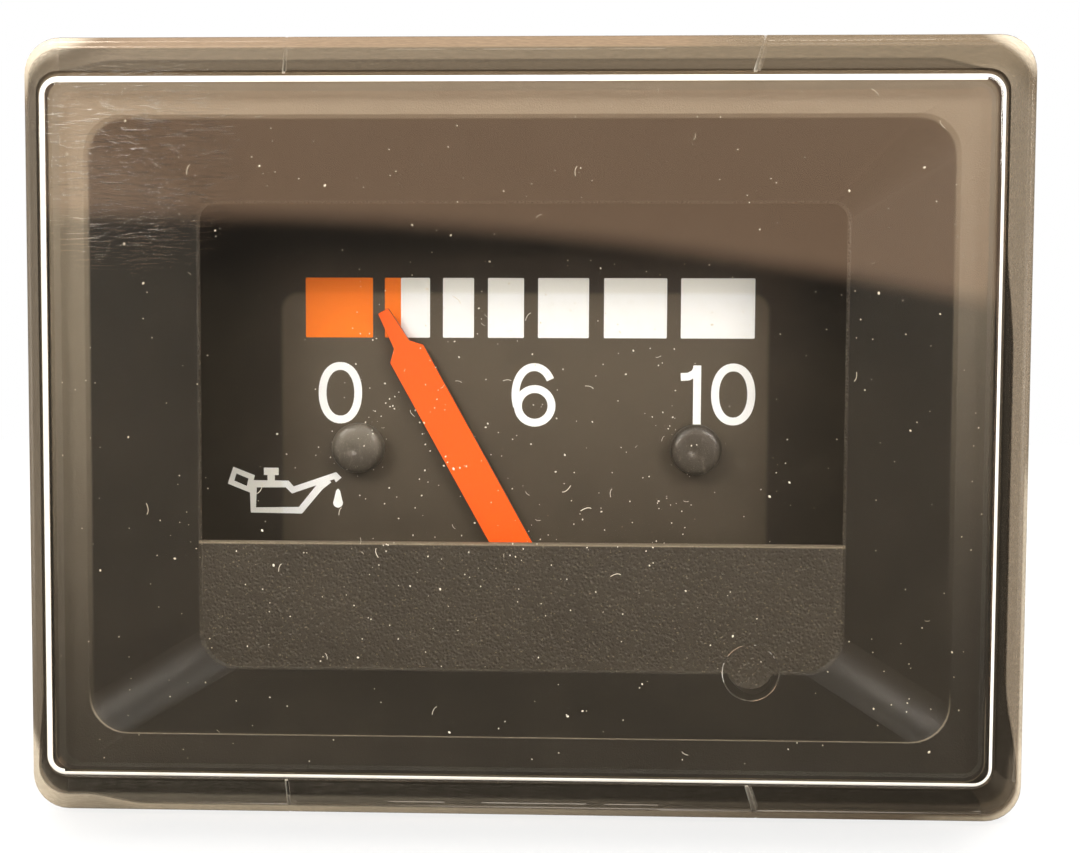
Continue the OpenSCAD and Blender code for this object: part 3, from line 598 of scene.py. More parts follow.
@dataclass(frozen=True)
class DialEnamel(Finish):
    """Thin black enamel on a pale plate, with a painted glow where the light box is behind it."""

    # Colour of the dust specks, which also paints the glow over the light box.
    dust: Colour = (0.31, 0.24, 0.16)
    specular: float = 0.3
    speck: float = 0.55
    speck_edge: Point = (0.1, 0.045)
    speck_lots: Patches = Patches(0.9, 0.56, 0.64)
    clouds: Patches = Patches(4.0, 0.4, 0.8, 4.0, 0.6)
    glow_from: Point = (-7.0, 5.0)
    relief: float = 0.006

    def dress(self, graph: Graph, shader: bpy.types.Node) -> None:
        """Paint the glow of the light from behind, and add dust specks, cloudy gloss and a faint orange
        peel.

        Args:
            graph: The material's tree.
            shader: Its Principled shader.
        """
        specks = graph.rise(graph.cells(self.speck), *self.speck_edge) * graph.patches(self.speck_lots)
        cloud = graph.patches(self.clouds)
        # Painted glow: over the light box the enamel is tinted lighter, more so towards the top.
        shine = graph.rise(graph.spots[2], *self.glow_from) * 0.09 - cloud * 0.03 + 0.14
        mask = graph.backlit() * shine | specks * 0.8 | cloud * 0.04
        self.vary(graph, shader, mask, self.dust, 0.5 - self.roughness)
        peel = graph.noise(0.5) * 0.5 + specks
        graph.feed(shader, {"Normal": graph.bump(peel, self.relief),
                            "Specular IOR Level": self.specular})


@dataclass(frozen=True)
class Ink(Finish):
    """Screen-printed ink or sprayed paint, with painted shade: duller by a share where no light box is
    behind it.
    """

    # Share of the colour kept in the painted shade away from the light box, and in the mottling.
    dull: Colour = (0.92, 0.9, 0.84)
    relief: float = 0.004
    specular: float = 0.25
    weave: float = 0.12
    mottle: Patches = Patches(0.7, 0.4, 0.7, 3.0, 0.6)

    def dress(self, graph: Graph, shader: bpy.types.Node) -> None:
        """Add painted shade away from the light box, mottling and the weave that the screen leaves.

        Args:
            graph: The material's tree.
            shader: Its Principled shader.
        """
        deep = tuple(part * share for part, share in zip(self.colour, self.dull))
        # Painted shade: the print is duller wherever the light box is not behind it.
        mask = (1 - graph.backlit()) | graph.patches(self.mottle) * 0.2
        self.vary(graph, shader, mask, deep, 0.1)
        graph.feed(shader, {"Normal": graph.bump(graph.noise(self.weave), self.relief),
                            "Specular IOR Level": self.specular})


@dataclass(frozen=True)
class Metal(Finish):
    """Plated or bare metal, with drawn lines one way and a dull bloom."""

    run: Triple = (1.0, 0.08, 1.0)
    bloom: Colour = (0.35, 0.33, 0.3)
    line: float = 0.06
    line_edge: Point = (0.5, 0.8)
    stains: Patches = Patches(1.1, 0.45, 0.75, 4.0, 0.65)
    relief: float = 0.004

    def dress(self, graph: Graph, shader: bpy.types.Node) -> None:
        """Add drawn lines, stains and dull spots.

        Args:
            graph: The material's tree.
            shader: Its Principled shader.
        """
        lines = graph.noise(self.line, vector=graph.stretch(self.run))
        mask = graph.patches(self.stains) * 0.6 + graph.rise(lines, *self.line_edge) * 0.2
        self.vary(graph, shader, mask, self.bloom, 0.2)
        graph.feed(shader, {"Metallic": 1.0, "Normal": graph.bump(lines, self.relief)})


@dataclass(frozen=True)
class Rubber(Finish):
    """Moulded rubber with grit and scuffs, and a painted sheen that makes the left peg's upper half
    paler.
    """

    # Colour of grit and scuffs, which also paints the sheen on the left peg.
    grit: Colour = (0.3, 0.26, 0.2)
    specks: Patches = Patches(0.09, 0.63, 0.72)
    scuffs: Patches = Patches(0.4, 0.55, 0.75, 3.0)
    scuff_run: Triple = (1.0, 1.0, 0.3)
    # Where the painted sheen lies: the left peg's upper half.
    pale_left: Point = (0.0, -10.0)
    pale_above: Point = (-2.6, -0.4)
    relief: float = 0.02

    def dress(self, graph: Graph, shader: bpy.types.Node) -> None:
        """Add grit, scuffs, the painted sheen on the left peg's upper half and a fine texture.

        Args:
            graph: The material's tree.
            shader: Its Principled shader.
        """
        x, _, z = graph.spots
        specks = graph.patches(self.specks)
        scuff = graph.patches(self.scuffs, graph.stretch(self.scuff_run))
        # Painted sheen: the left peg's upper half is paler, as it mirrors the bright room above.
        pale = graph.rise(x, *self.pale_left) * graph.rise(z, *self.pale_above) * 0.32
        self.vary(graph, shader, specks * 0.5 + scuff * 0.2 + pale, self.grit, 0.2)
        height = graph.noise(0.15, 3.0, 0.6) + specks * 0.5
        graph.feed(shader, {"Normal": graph.bump(height, self.relief)})


@dataclass(frozen=True)
class Winding(Finish):
    """Enamelled copper wire laid side by side."""

    wire: float = 0.12
    axis: str = "Z"
    relief: float = 0.03

    def dress(self, graph: Graph, shader: bpy.types.Node) -> None:
        """Show the turns as bands across the winding, with painted shade in the grooves between them.

        Args:
            graph: The material's tree.
            shader: Its Principled shader.
        """
        turns = graph.wire("ShaderNodeTexWave", "Fac", {"bands_direction": self.axis},
                           {"Vector": graph.place, "Scale": WAVE_SCALE / (self.wire * MM),
                            "Distortion": 0.4, "Detail": 1.0})
        # Painted shade in the grooves between the turns.
        dark = tuple(part * 0.35 for part in self.colour)
        self.vary(graph, shader, graph.rise(turns, 0.4, 0.0), dark, 0.15)
        graph.feed(shader, {"Metallic": 0.85, "Normal": graph.bump(turns, self.relief)})


@dataclass(frozen=True)
class Laminate(Finish):
    """Resin-bonded paper board with its fibres and a sheen of lacquer."""

    fibre: Colour = (0.3, 0.17, 0.06)
    fibre_size: float = 0.1
    fibre_edge: Point = (0.8, 1.3)
    relief: float = 0.006
    lacquer: float = 0.4

    def dress(self, graph: Graph, shader: bpy.types.Node) -> None:
        """Add fibres both ways and a lacquer coat.

        Args:
            graph: The material's tree.
            shader: Its Principled shader.
        """
        across, along = (graph.noise(self.fibre_size, vector=graph.stretch(run))
                         for run in ((0.1, 1.0, 1.0), (1.0, 1.0, 0.1)))
        fibres = across + along
        self.vary(graph, shader, graph.rise(fibres, *self.fibre_edge), self.fibre, 0.1)
        graph.feed(shader, {"Normal": graph.bump(fibres, self.relief), "Coat Weight": self.lacquer})


@dataclass(frozen=True)
class Glass(SeeThrough):
    """Blown glass of the bulb, with a grey smudge from use."""

    smudge: Colour = (0.55, 0.53, 0.5)
    smudges: Patches = Patches(1.5, 0.45, 0.7)

    def dress(self, graph: Graph, shader: bpy.types.Node) -> None:
        """Add the smudge."""
        self.vary(graph, shader, graph.patches(self.smudges) * 0.4, self.smudge, 0.12 - self.roughness)


@dataclass(frozen=True)
class Grime(Finish):
    """Film of dirt and painted reflection on the flare, thickest at the back, on top and in three of its
    corners.

    The film starts at a depth of its own on each side. The pairs say where, in millimetres,
    one side passes into the next. The pale patches in the corners and the pale band low on the
    right at the back are painted reflections, and the film is thicker and paler along the
    bottom as painted light where the flare faces down.
    """

    # Painted reflections: centres and reaches of the pale corner patches.
    corners: tuple[tuple[Point, float], ...] = (((-35.0, 27.5), 5.0), ((35.0, 27.5), 3.2),
                                                ((-35.0, -27.0), 3.0))
    start: float = 3.8
    start_below: float = 8.6
    start_left: float = 0.8
    start_edge: Point = (-0.4, 0.4)
    earlier_right: float = 3.0
    above_from: Point = (22.0, 24.0)
    below_from: Point = (-21.0, -23.0)
    lower_from: Point = (-16.0, -24.0)
    left_from: Point = (-27.0, -30.0)
    right_from: Point = (27.0, 30.0)
    earlier_above: Point = (5.0, 13.0)
    heavy_depth: Point = (7.1, 7.7)
    heavy_until: Point = (9.0, 17.0)
    faint_depth: Point = (4.5, 6.0)
    # Where the painted reflection lies low on the right at the back, and the painted light along the
    # bottom.
    edge_depth: Point = (8.8, 9.8)
    edge_below: Point = (-1.0, -5.0)
    swept_from: Point = (34.0, -20.0)
    streaks: Patches = Patches(0.25, 0.35, 0.75, 3.0, 0.65)
    streak_run: Triple = (0.35, 1.0, 1.0)
    top: Colour = (0.23, 0.17, 0.1)
    heavy: Colour = (0.3, 0.2, 0.115)
    # Tone of the painted reflections and of the painted light along the bottom.
    pale: Colour = (0.97, 0.85, 0.67)

    def dress(self, graph: Graph, shader: bpy.types.Node) -> None:
        """Let the film cover more or less, tint it side by side, and paint pale reflections and light on
        it.

        Args:
            graph: The material's tree.
            shader: Its Principled shader.
        """
        x, depth, z = graph.spots
        above, below, lower = (graph.rise(z, *pair)
                               for pair in (self.above_from, self.below_from, self.lower_from))
        left, right = (graph.rise(x, *pair) for pair in (self.left_from, self.right_from))
        thick = graph.patches(self.streaks, graph.stretch(self.streak_run))
        start = self.start + lower * (self.start_below - self.start) \
            + left * (self.start_left - self.start) \
            - right * graph.rise(z, *self.earlier_above) * self.earlier_right
        band = graph.rise(depth - start, *self.start_edge) * (1 - left * 0.5)
        heavy = graph.rise(depth, *self.heavy_depth) * above \
            * (1 - graph.rise(x, *self.heavy_until) * 0.75)
        # Painted reflections: thick pale patches in three corners.
        first, second, third = (graph.near(*corner) for corner in self.corners)
        patch = first | second | third
        faint = above * 0.14 + below * graph.rise(depth, *self.faint_depth) * 0.09
        # The film is thicker along the bottom: painted light where the flare faces down.
        cover = band * (thick * 0.25 + 0.33 + below * 0.4) + heavy * 0.35 \
            | patch * thick * 0.9 | thick * 0.05 + faint
        # Painted reflection low on the right at the back, and painted light along the bottom, paler to
        # the left.
        edge = graph.rise(depth, *self.edge_depth) * graph.rise(z, *self.edge_below) * right
        swept = below * graph.rise(x, *self.swept_from)
        tone = graph.tint(heavy, graph.tint(above, self.colour, self.top), self.heavy)
        tone = graph.tint(patch | edge * 0.7 | swept, tone, self.pale)
        graph.feed(shader, {"Alpha": cover, "Base Color": tone})


COVER = ClearPlastic("clear_acrylic", (0.995, 0.993, 0.985), 0.015)
# Painted highlight: an opaque pale finish that stands in for the light the front edge's round catches;
# the slit walls take it too.
PALE_EDGE = Moulding("pale_acrylic_edge", (0.93, 0.9, 0.84), 0.35, 0.2, 0.004, (0.8, 0.74, 0.64))
MASK = MaskGrain("grained_black_bezel", (0.01, 0.008, 0.005), 0.42)
DIAL = DialEnamel("black_dial_enamel", (0.02, 0.016, 0.011), 0.3)
WHITE_INK = Ink("white_dial_ink", (0.955, 0.95, 0.94), 0.45)
RED_INK = Ink("red_orange_dial_ink", linear(252, 122, 2), 0.45)
POINTER_PAINT = Ink("orange_pointer_paint", linear(252, 92, 2), 0.4, (0.96, 0.93, 0.9), 0.006)
PEG = Rubber("black_peg_rubber", (0.05, 0.041, 0.031), 0.3)
HOUSING = Moulding("black_housing_plastic", (0.018, 0.018, 0.019), 0.5, 0.14, 0.014)
HOLDER = Moulding("dark_holder_plastic", (0.05, 0.05, 0.052), 0.4, 0.1, 0.008, (0.1, 0.095, 0.09))
HUB = Moulding("black_hub_plastic", (0.02, 0.02, 0.02), 0.4, 0.1, 0.006)
FOAM = Moulding("grey_seal_foam", (0.03, 0.03, 0.032), 0.9, 0.25, 0.08, (0.06, 0.06, 0.06), 0.2)
TRAY = Moulding("white_tray_plastic", (0.8, 0.79, 0.74), 0.4, 0.12, 0.006, (0.7, 0.68, 0.6))
NYLON = Moulding("natural_bobbin_nylon", (0.68, 0.63, 0.5), 0.4, 0.1, 0.005, (0.6, 0.52, 0.38))
RESISTOR = Moulding("green_resistor_cement", (0.12, 0.16, 0.11), 0.6, 0.15, 0.02, (0.2, 0.24, 0.18))
MAGNET = Moulding("dark_magnet_ferrite", (0.05, 0.05, 0.055), 0.45, 0.08, 0.01, (0.1, 0.1, 0.1))
BRASS = Metal("turned_brass", (0.72, 0.52, 0.22), 0.25, (1.0, 1.0, 0.1), (0.42, 0.28, 0.12))
STEEL = Metal("zinc_plated_steel", (0.62, 0.6, 0.55), 0.28, (1.0, 0.1, 1.0), (0.45, 0.4, 0.28))
TINNED = Metal("tinned_brass", (0.75, 0.71, 0.62), 0.36, (1.0, 0.07, 1.0), (0.45, 0.36, 0.2))
CAN = Metal("shield_can_steel", (0.55, 0.54, 0.52), 0.32, (0.1, 1.0, 1.0), (0.35, 0.31, 0.26))
INNER_WIRE = Winding("inner_copper_winding", (0.72, 0.3, 0.12), 0.3)
OUTER_WIRE = Winding("outer_copper_winding", (0.62, 0.22, 0.08), 0.3, axis="X")
BOARD = Laminate("brown_board_laminate", (0.42, 0.26, 0.1), 0.35)
BULB_GLASS = Glass("bulb_glass_envelope", (0.96, 0.96, 0.94), 0.01)
DUST = Ink("pale_dust", (0.75, 0.69, 0.58), 0.9, (0.8, 0.75, 0.68))
GRIME_AND_SHEEN = Grime("flare_grime_and_sheen", (0.34, 0.265, 0.18), 0.7)


class Shell:
    """A mesh under construction, from rings of points and the faces between them."""

    def __init__(self) -> None:
        """Start an empty mesh."""
        self.mesh = bmesh.new()

    def ring(self, points: Iterable[Vector]) -> list[bmesh.types.BMVert]:
        """Add a row of vertices."""
        return [self.mesh.verts.new(point) for point in points]

    def strip(self, first: Sequence[bmesh.types.BMVert], second: Sequence[bmesh.types.BMVert],
              closed: bool = True) -> None:
        """Join two rows of as many vertices with four-sided faces.

        Args:
            first: One row.
            second: The other row.
            closed: Whether the last vertices are joined to the first ones too.
        """
        count = len(first) if closed else len(first) - 1
        for i in range(count):
            j = (i + 1) % len(first)
            self.mesh.faces.new((first[i], first[j], second[j], second[i]))

    def cap(self, row: Sequence[bmesh.types.BMVert]) -> None:
        """Close a row of vertices with one face."""
        self.mesh.faces.new(row)

    def wall(self, rows: Sequence[Sequence[Vector]]) -> list[list[bmesh.types.BMVert]]:
        """Join rings of points one after the other.

        Args:
            rows: The rings, each of as many points.

        Returns:
            The rows of vertices.
        """
        made = [self.ring(row) for row in rows]
        for first, second in zip(made, made[1:]):
            self.strip(first, second)
        return made

    def tube(self, rows: Sequence[Sequence[Vector]], ends: bool = True) -> None:
        """Join rings of points into a closed shape.

        Args:
            rows: The rings, each of as many points.
            ends: Whether a face closes the first and the last ring, or they meet.
        """
        made = self.wall(rows)
        if ends:
            self.cap(made[0])
            self.cap(made[-1])
        else:
            self.strip(made[-1], made[0])

    def object(self, name: str, finish: Finish | None = None,
               sharp: float = 30.0) -> bpy.types.Object:
        """Turn the mesh into an object.

        Args:
            name: The object's name.
            finish: Its finish, if it has one.
            sharp: Edges with a larger angle, in degrees, stay sharp.

        Returns:
            The object, at the origin.
        """
        bmesh.ops.remove_doubles(self.mesh, verts=self.mesh.verts, dist=WELD)
        bmesh.ops.recalc_face_normals(self.mesh, faces=self.mesh.faces)
        data = bpy.data.meshes.new(name)
        self.mesh.to_mesh(data)
        self.mesh.free()
        made = linked(name, data)
        if finish:
            data.materials.append(finish.material())
        smooth(data, sharp)
        return made


def linked(name: str, data: bpy.types.ID) -> bpy.types.Object:
    """Put an object in the scene.

    Args:
        name: The object's name.
        data: Its mesh, lamp or camera.

    Returns:
        The object.
    """
    made = bpy.data.objects.new(name, data)
    bpy.context.scene.collection.objects.link(made)
    return made


def smooth(data: bpy.types.Mesh, sharp: float, flat: float = 20.0) -> None:
    """Shade a mesh smooth, but for its sharp edges and those of its large faces.

    Args:
        data: The mesh.
        sharp: Edges with a larger angle, in degrees, are sharp.
        flat: Faces over this area, in square millimetres, are large.
    """
    data.shade_smooth()
    data.set_sharp_from_angle(angle=math.radians(sharp))
    edges = {data.loops[i].edge_index for face in data.polygons if face.area > flat * MM ** 2
             for i in face.loop_indices}
    for i in edges:
        data.edges[i].use_edge_sharp = True


def applied(piece: bpy.types.Object, sharp: float = 30.0) -> bpy.types.Object:
    """Turn a piece and its modifiers into a plain mesh.

    Args:
        piece: The piece, which is changed.
        sharp: Edges with a larger angle, in degrees, stay sharp.

    Returns:
        The same piece, without modifiers.
    """
    graph = bpy.context.evaluated_depsgraph_get()
    data = bpy.data.meshes.new_from_object(piece.evaluated_get(graph))
    old = piece.data
    piece.modifiers.clear()
    piece.data = data
    bpy.data.meshes.remove(old)
    data.name = piece.name
    smooth(data, sharp)
    return piece


def bevelled(piece: bpy.types.Object, width: float, segments: int = 2,
             angle: float = 40.0) -> bpy.types.Object:
    """Round the edges of a piece.

    Args:
        piece: The piece, which is changed.
        width: Width of the round, in millimetres.
        segments: Faces across the round.
        angle: Edges that turn by more, in degrees, are rounded.

    Returns:
        The same piece, as a plain mesh.
    """
    bevel = piece.modifiers.new("edges", "BEVEL")
    bevel.width = width * MM
    bevel.segments = segments
    bevel.limit_method = "ANGLE"
    bevel.angle_limit = math.radians(angle)
    bevel.use_clamp_overlap = True
    return applied(piece, angle + 10)


def joined(piece: bpy.types.Object, tool: bpy.types.Object, operation: str) -> bpy.types.Object:
    """Cut a tool out of a piece, or add it, and delete the tool.

    Args:
        piece: The piece, which is changed.
        tool: The tool.
        operation: Blender's name of what is done.

    Returns:
        The same piece, as a plain mesh.
    """
    cut = piece.modifiers.new("cut", "BOOLEAN")
    cut.object = tool
    cut.operation = operation
    cut.solver = "EXACT"
    applied(piece)
    data = tool.data
    bpy.data.objects.remove(tool)
    bpy.data.meshes.remove(data)
    return piece


def copy_of(node: str, name: str, finish: Finish) -> bpy.types.Object:
    """Copy a CAD node's mesh as clean faces.

    Args:
        node: Name of the CAD node.
        name: Name of the new piece.
        finish: Its finish.

    Returns:
        The piece, whose flat areas are single faces.
    """
    shell = Shell()
    shell.mesh.from_mesh(NODES[node].data)
    bmesh.ops.remove_doubles(shell.mesh, verts=shell.mesh.verts, dist=CAD_WELD)
    bmesh.ops.dissolve_limit(shell.mesh, angle_limit=CAD_FLAT, verts=shell.mesh.verts,
                             edges=shell.mesh.edges)
    return shell.object(name, finish)


def keep(piece: bpy.types.Object, body: Body, slot: str, *nodes: str) -> None:
    """Let a finished piece ride on its body and stand for its CAD nodes.

    Args:
        piece: The finished piece.
        body: The body that it rides on.
        slot: The record's material slot, which is not used.
        nodes: The CAD nodes that it replaces.
    """
    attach(piece, body.value)
    if nodes:
        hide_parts(*nodes)
    LOG.info("%s rides on %s: %d faces", piece.name, body.value, len(piece.data.polygons))


def arms(piece: bpy.types.Object, centre: Point) -> list[tuple[bpy.types.MeshVertex, Vector]]:
    """Pair each vertex of a piece with its arm from a centre, seen from the front.

    Args:
        piece: The piece.
        centre: The x and z of the centre, in millimetres.

    Returns:
        The vertices with their arms, in millimetres.
    """
    x, z = centre
    return [(vertex, Vector((vertex.co.x / MM - x, vertex.co.z / MM - z)))
            for vertex in piece.data.vertices]


def reach(vertex: bpy.types.MeshVertex, centre: Point, arm: Vector) -> None:
    """Put a vertex at the end of an arm from a centre, and leave its depth."""
    vertex.co.x, vertex.co.z = (centre[0] + arm.x) * MM, (centre[1] + arm.y) * MM


def dress(node: str, finish: Finish) -> None:
    """Give a CAD node its finish.

    Args:
        node: Name of the CAD node.
        finish: Its finish.
    """
    for slot in NODES[node].material_slots:
        slot.material = finish.material()
    LOG.info("%s wears %s", node, finish.name)


@dataclass(frozen=True)
class Outline:
    """An upright rectangle with round corners, as seen from the front."""

    width: float
    top: float
    bottom: float
    top_r: float
    bottom_r: float

    @staticmethod
    def centred(width: float, height: float, radius: float, centre: float = 0.0) -> "Outline":
        """Make one around a centre height, with one corner radius."""
        return Outline(width, centre + height / 2, centre - height / 2, radius, radius)

    def grown(self, by: float) -> "Outline":
        """Make one that is larger by the same amount all round."""
        return Outline(self.width + 2 * by, self.top + by, self.bottom - by, self.top_r + by,
                       self.bottom_r + by)

    def points(self, steps: int = 8, split: float | None = None) -> list[Point]:
        """Walk round the outline, counter-clockwise from the bottom right corner.

        Args:
            steps: Steps in each corner.
            split: Height at which both sides get a point of their own.

        Returns:
            The points in millimetres.
        """
        corners = [(1, self.bottom, self.bottom_r, -90), (1, self.top, self.top_r, 0),
                   (-1, self.top, self.top_r, 90), (-1, self.bottom, self.bottom_r, 180)]
        walk: list[Point] = []
        for number, (side, level, radius, start) in enumerate(corners):
            x = side * (self.width / 2 - radius)
            z = level - math.copysign(radius, level - (self.top + self.bottom) / 2)
            for i in range(steps + 1):
                turn = math.radians(start + 90 * i / steps)
                walk.append((x + radius * math.cos(turn), z + radius * math.sin(turn)))
            if split is not None and number in (0, 2):
                walk.append((side * self.width / 2, split))
        return walk

    def at(self, depth: float, steps: int = 8, split: float | None = None) -> list[Vector]:
        """Place the outline at a depth."""
        return [spot(x, depth, z) for x, z in self.points(steps, split)]


def turned(shell: Shell, profile: Sequence[Point], centre: Point, steps: int = 48) -> None:
    """Turn a profile about an axis along the depth, and add it to a shell.

    Args:
        shell: The mesh that takes it.
        profile: Radius and depth pairs, from one end on the axis to the other.
        centre: The axis's x and z.
        steps: Sides of the round.
    """
    rows = []
    for radius, depth in profile:
        rows.append([spot(centre[0] + radius * math.cos(a), depth, centre[1] + radius * math.sin(a))
                     for a in (2 * math.pi * i / steps for i in range(steps))])
    shell.tube(rows)


class Pattern(Network):
    """A Geometry Nodes tree with named inputs."""

    def __init__(self, name: str, sizes: dict[str, float]) -> None:
        """Start a tree with a mesh input, sizes by name, a seed and a material.

        Args:
            name: The tree's name.
            sizes: The names of its sizes, with defaults.
        """
        super().__init__(bpy.data.node_groups.new(name, "GeometryNodeTree"))
        face = self.tree.interface
        face.new_socket("Geometry", in_out="INPUT", socket_type="NodeSocketGeometry")
        face.new_socket("Geometry", in_out="OUTPUT", socket_type="NodeSocketGeometry")
        for size, value in sizes.items():
            face.new_socket(size, in_out="INPUT", socket_type="NodeSocketFloat").default_value = value
        face.new_socket("Seed", in_out="INPUT", socket_type="NodeSocketInt")
        face.new_socket("Finish", in_out="INPUT", socket_type="NodeSocketMaterial")
        self.start = self.node("NodeGroupInput").outputs

    def levelled(self, line: bpy.types.Node) -> bpy.types.Node:
        """Keep a curve's profile level all the way."""
        return self.node("GeometryNodeSetCurveNormal", {"mode": "Z_UP"}, {0: line.outputs[0]})

    def swept(self, line: bpy.types.Node, profile: bpy.types.Node) -> bpy.types.NodeSocket:
        """Sweep a profile along a curve and close the ends.

        Args:
            line: The node of the curve.
            profile: The node of the profile.

        Returns:
            The mesh.
        """
        made = self.node("GeometryNodeCurveToMesh", None,
                         {"Curve": line.outputs[0], "Profile Curve": profile.outputs[0],
                          "Fill Caps": True})
        return made.outputs[0]

    def moved(self, geometry: bpy.types.NodeSocket, **how: Triple) -> bpy.types.NodeSocket:
        """Turn or scale a shape about the origin."""
        return self.node("GeometryNodeTransform", None, {"Geometry": geometry, **how}).outputs[0]

    def end(self, geometry: bpy.types.NodeSocket) -> None:
        """Make the result real and give it its material.

        Args:
            geometry: The result.
        """
        real = self.node("GeometryNodeRealizeInstances", None, {0: geometry})
        worn = self.node("GeometryNodeSetMaterial", None,
                         {"Geometry": real.outputs[0], "Material": self.start["Finish"]})
        self.node("NodeGroupOutput", None, {0: worn.outputs[0]})

    def laid(self, piece: bpy.types.Object, finish: Finish, seed: int = 0,
             **sizes: float) -> bpy.types.Object:
        """Run the tree on a piece and keep the result as its mesh.

        Args:
            piece: The piece whose mesh feeds the tree.
            finish: The finish of the result.
            seed: Seed of what is random.
            sizes: Values of the named inputs, with underscores for spaces.

        Returns:
            The piece, with a plain mesh.
        """
        values = {name.replace("_", " "): value for name, value in sizes.items()}
        values |= {"Seed": seed, "Finish": finish.material()}
        run = piece.modifiers.new("pattern", "NODES")
        run.node_group = self.tree
        for item in self.tree.interface.items_tree:
            if item.item_type == "SOCKET" and item.in_out == "INPUT" and item.name in values:
                run[item.identifier] = values[item.name]
        return applied(piece)


def ribbon_pattern() -> Pattern:
    """Build the tree that sweeps a flat stroke along edges drawn in the XY plane.

    Returns:
        The tree.
    """
    pattern = Pattern("printed_stroke", {"Stroke": 0.5 * MM, "Film": 0.03 * MM})
    line = pattern.node("GeometryNodeMeshToCurve", None, {0: pattern.start["Geometry"]})
    shape = pattern.node("GeometryNodeCurvePrimitiveQuadrilateral", None,
                         {"Width": pattern.start["Stroke"], "Height": pattern.start["Film"]})
    stroke = pattern.swept(pattern.levelled(line), shape)
    pattern.end(pattern.moved(stroke, Rotation=(math.pi / 2, 0.0, 0.0)))
    return pattern


def thread_pattern() -> Pattern:
    """Build the tree that winds a screw thread along +Y from the origin.

    Returns:
        The tree.
    """
    pattern = Pattern("screw_thread", {"Turns": 10.0, "Root": 1.6 * MM, "Length": 7.0 * MM,
                                       "Ridge": 0.3 * MM})
    helix = pattern.node("GeometryNodeCurveSpiral", None,
                         {"Resolution": 28, "Rotations": pattern.start["Turns"],
                          "Start Radius": pattern.start["Root"],
                          "End Radius": pattern.start["Root"], "Height": pattern.start["Length"]})
    ridge = pattern.node("GeometryNodeCurvePrimitiveCircle", None,
                         {"Resolution": 4, "Radius": pattern.start["Ridge"]})
    wound = pattern.swept(pattern.levelled(helix), ridge)
    lying = pattern.moved(wound, Rotation=(-math.pi / 2, 0.0, 0.0))
    both = pattern.node("GeometryNodeInstanceOnPoints", None,
                        {"Points": pattern.start["Geometry"], "Instance": lying})
    pattern.end(both.outputs[0])
    return pattern


def scatter_pattern(grain: Callable[[Pattern], bpy.types.NodeSocket]) -> Pattern:
    """Build the tree that strews grains over a surface.

    Args:
        grain: Adds the nodes of one grain, and gives its geometry.

    Returns:
        The tree.
    """
    pattern = Pattern("strewn_" + grain.__name__,
                      {"Density": 50000.0, "Smallest": 0.5, "Largest": 1.0})
    points = pattern.node("GeometryNodeDistributePointsOnFaces", None,
                          {"Mesh": pattern.start["Geometry"], "Density": pattern.start["Density"],
                           "Seed": pattern.start["Seed"]})
    turn = pattern.node("FunctionNodeRandomValue", {"data_type": "FLOAT_VECTOR"},
                        {"Max": (0.0, math.tau, 0.0), "Seed": pattern.start["Seed"]})
    size = pattern.node("FunctionNodeRandomValue", {"data_type": "FLOAT"},
                        {2: pattern.start["Smallest"], 3: pattern.start["Largest"],
                         "Seed": pattern.start["Seed"]})
    strewn = pattern.node("GeometryNodeInstanceOnPoints", None,
                          {"Points": points.outputs["Points"], "Instance": grain(pattern),
                           "Rotation": turn.outputs["Value"], "Scale": size.outputs[1]})
    pattern.end(strewn.outputs[0])
    return pattern


def speck(pattern: Pattern) -> bpy.types.NodeSocket:
    """Make one flat speck of dust, which scales from 0.1 mm."""
    ball = pattern.node("GeometryNodeMeshIcoSphere", None, {"Radius": 0.05 * MM, "Subdivisions": 1})
    return pattern.moved(ball.outputs[0], Scale=(1.0, 0.35, 0.7))


def lint(pattern: Pattern) -> bpy.types.NodeSocket:
    """Make one bent fibre of lint, which scales from 1 mm.

    Args:
        pattern: The tree that takes its nodes.

    Returns:
        The fibre.
    """
    line = pattern.node("GeometryNodeCurveQuadraticBezier", None,
                        {"Resolution": 6, "Start": (-0.5 * MM, 0.0, 0.0),
                         "Middle": (0.2 * MM, 0.0, 0.22 * MM), "End": (0.5 * MM, 0.0, -0.08 * MM)})
    hair = pattern.node("GeometryNodeCurvePrimitiveCircle", None,
                        {"Resolution": 4, "Radius": 0.03 * MM})
    return pattern.swept(line, hair)


def strewn(name: str, area: Sequence[Vector], grain: Callable[[Pattern], bpy.types.NodeSocket],
           seed: int, density: float, sizes: Point, slot: str) -> None:
    """Strew grains of dust over an area.

    Args:
        name: Name of the piece.
        area: Corners of the area.
        grain: Adds the nodes of one grain.
        seed: Seed of the places, turns and sizes.
        density: Grains in a square metre.
        sizes: Smallest and largest scale of a grain.
        slot: The record's material slot.
    """
    sheet = Shell()
    sheet.cap(sheet.ring(area))
    made = scatter_pattern(grain).laid(sheet.object(name, DUST), DUST, seed, Density=density,
                                       Smallest=sizes[0], Largest=sizes[1])
    keep(made, Body.CASE, slot)


def drawn(name: str, strokes: Sequence[tuple[Sequence[Point], bool]]) -> bpy.types.Object:
    """Draw lines in the XY plane as edges.

    Args:
        name: The object's name.
        strokes: Points in millimetres, and whether the line closes on itself.

    Returns:
        The object, whose mesh has edges alone.
    """
    data = bpy.data.meshes.new(name)
    points: list[tuple[float, float, float]] = []
    edges: list[tuple[int, int]] = []
    for number, (line, closed) in enumerate(strokes):
        first = len(points)
        points += [(x * MM, z * MM, number * 0.002 * MM) for x, z in line]
        edges += [(i, i + 1) for i in range(first, len(points) - 1)]
        if closed:
            edges.append((len(points) - 1, first))
    data.from_pydata(points, edges, [])
    return linked(name, data)


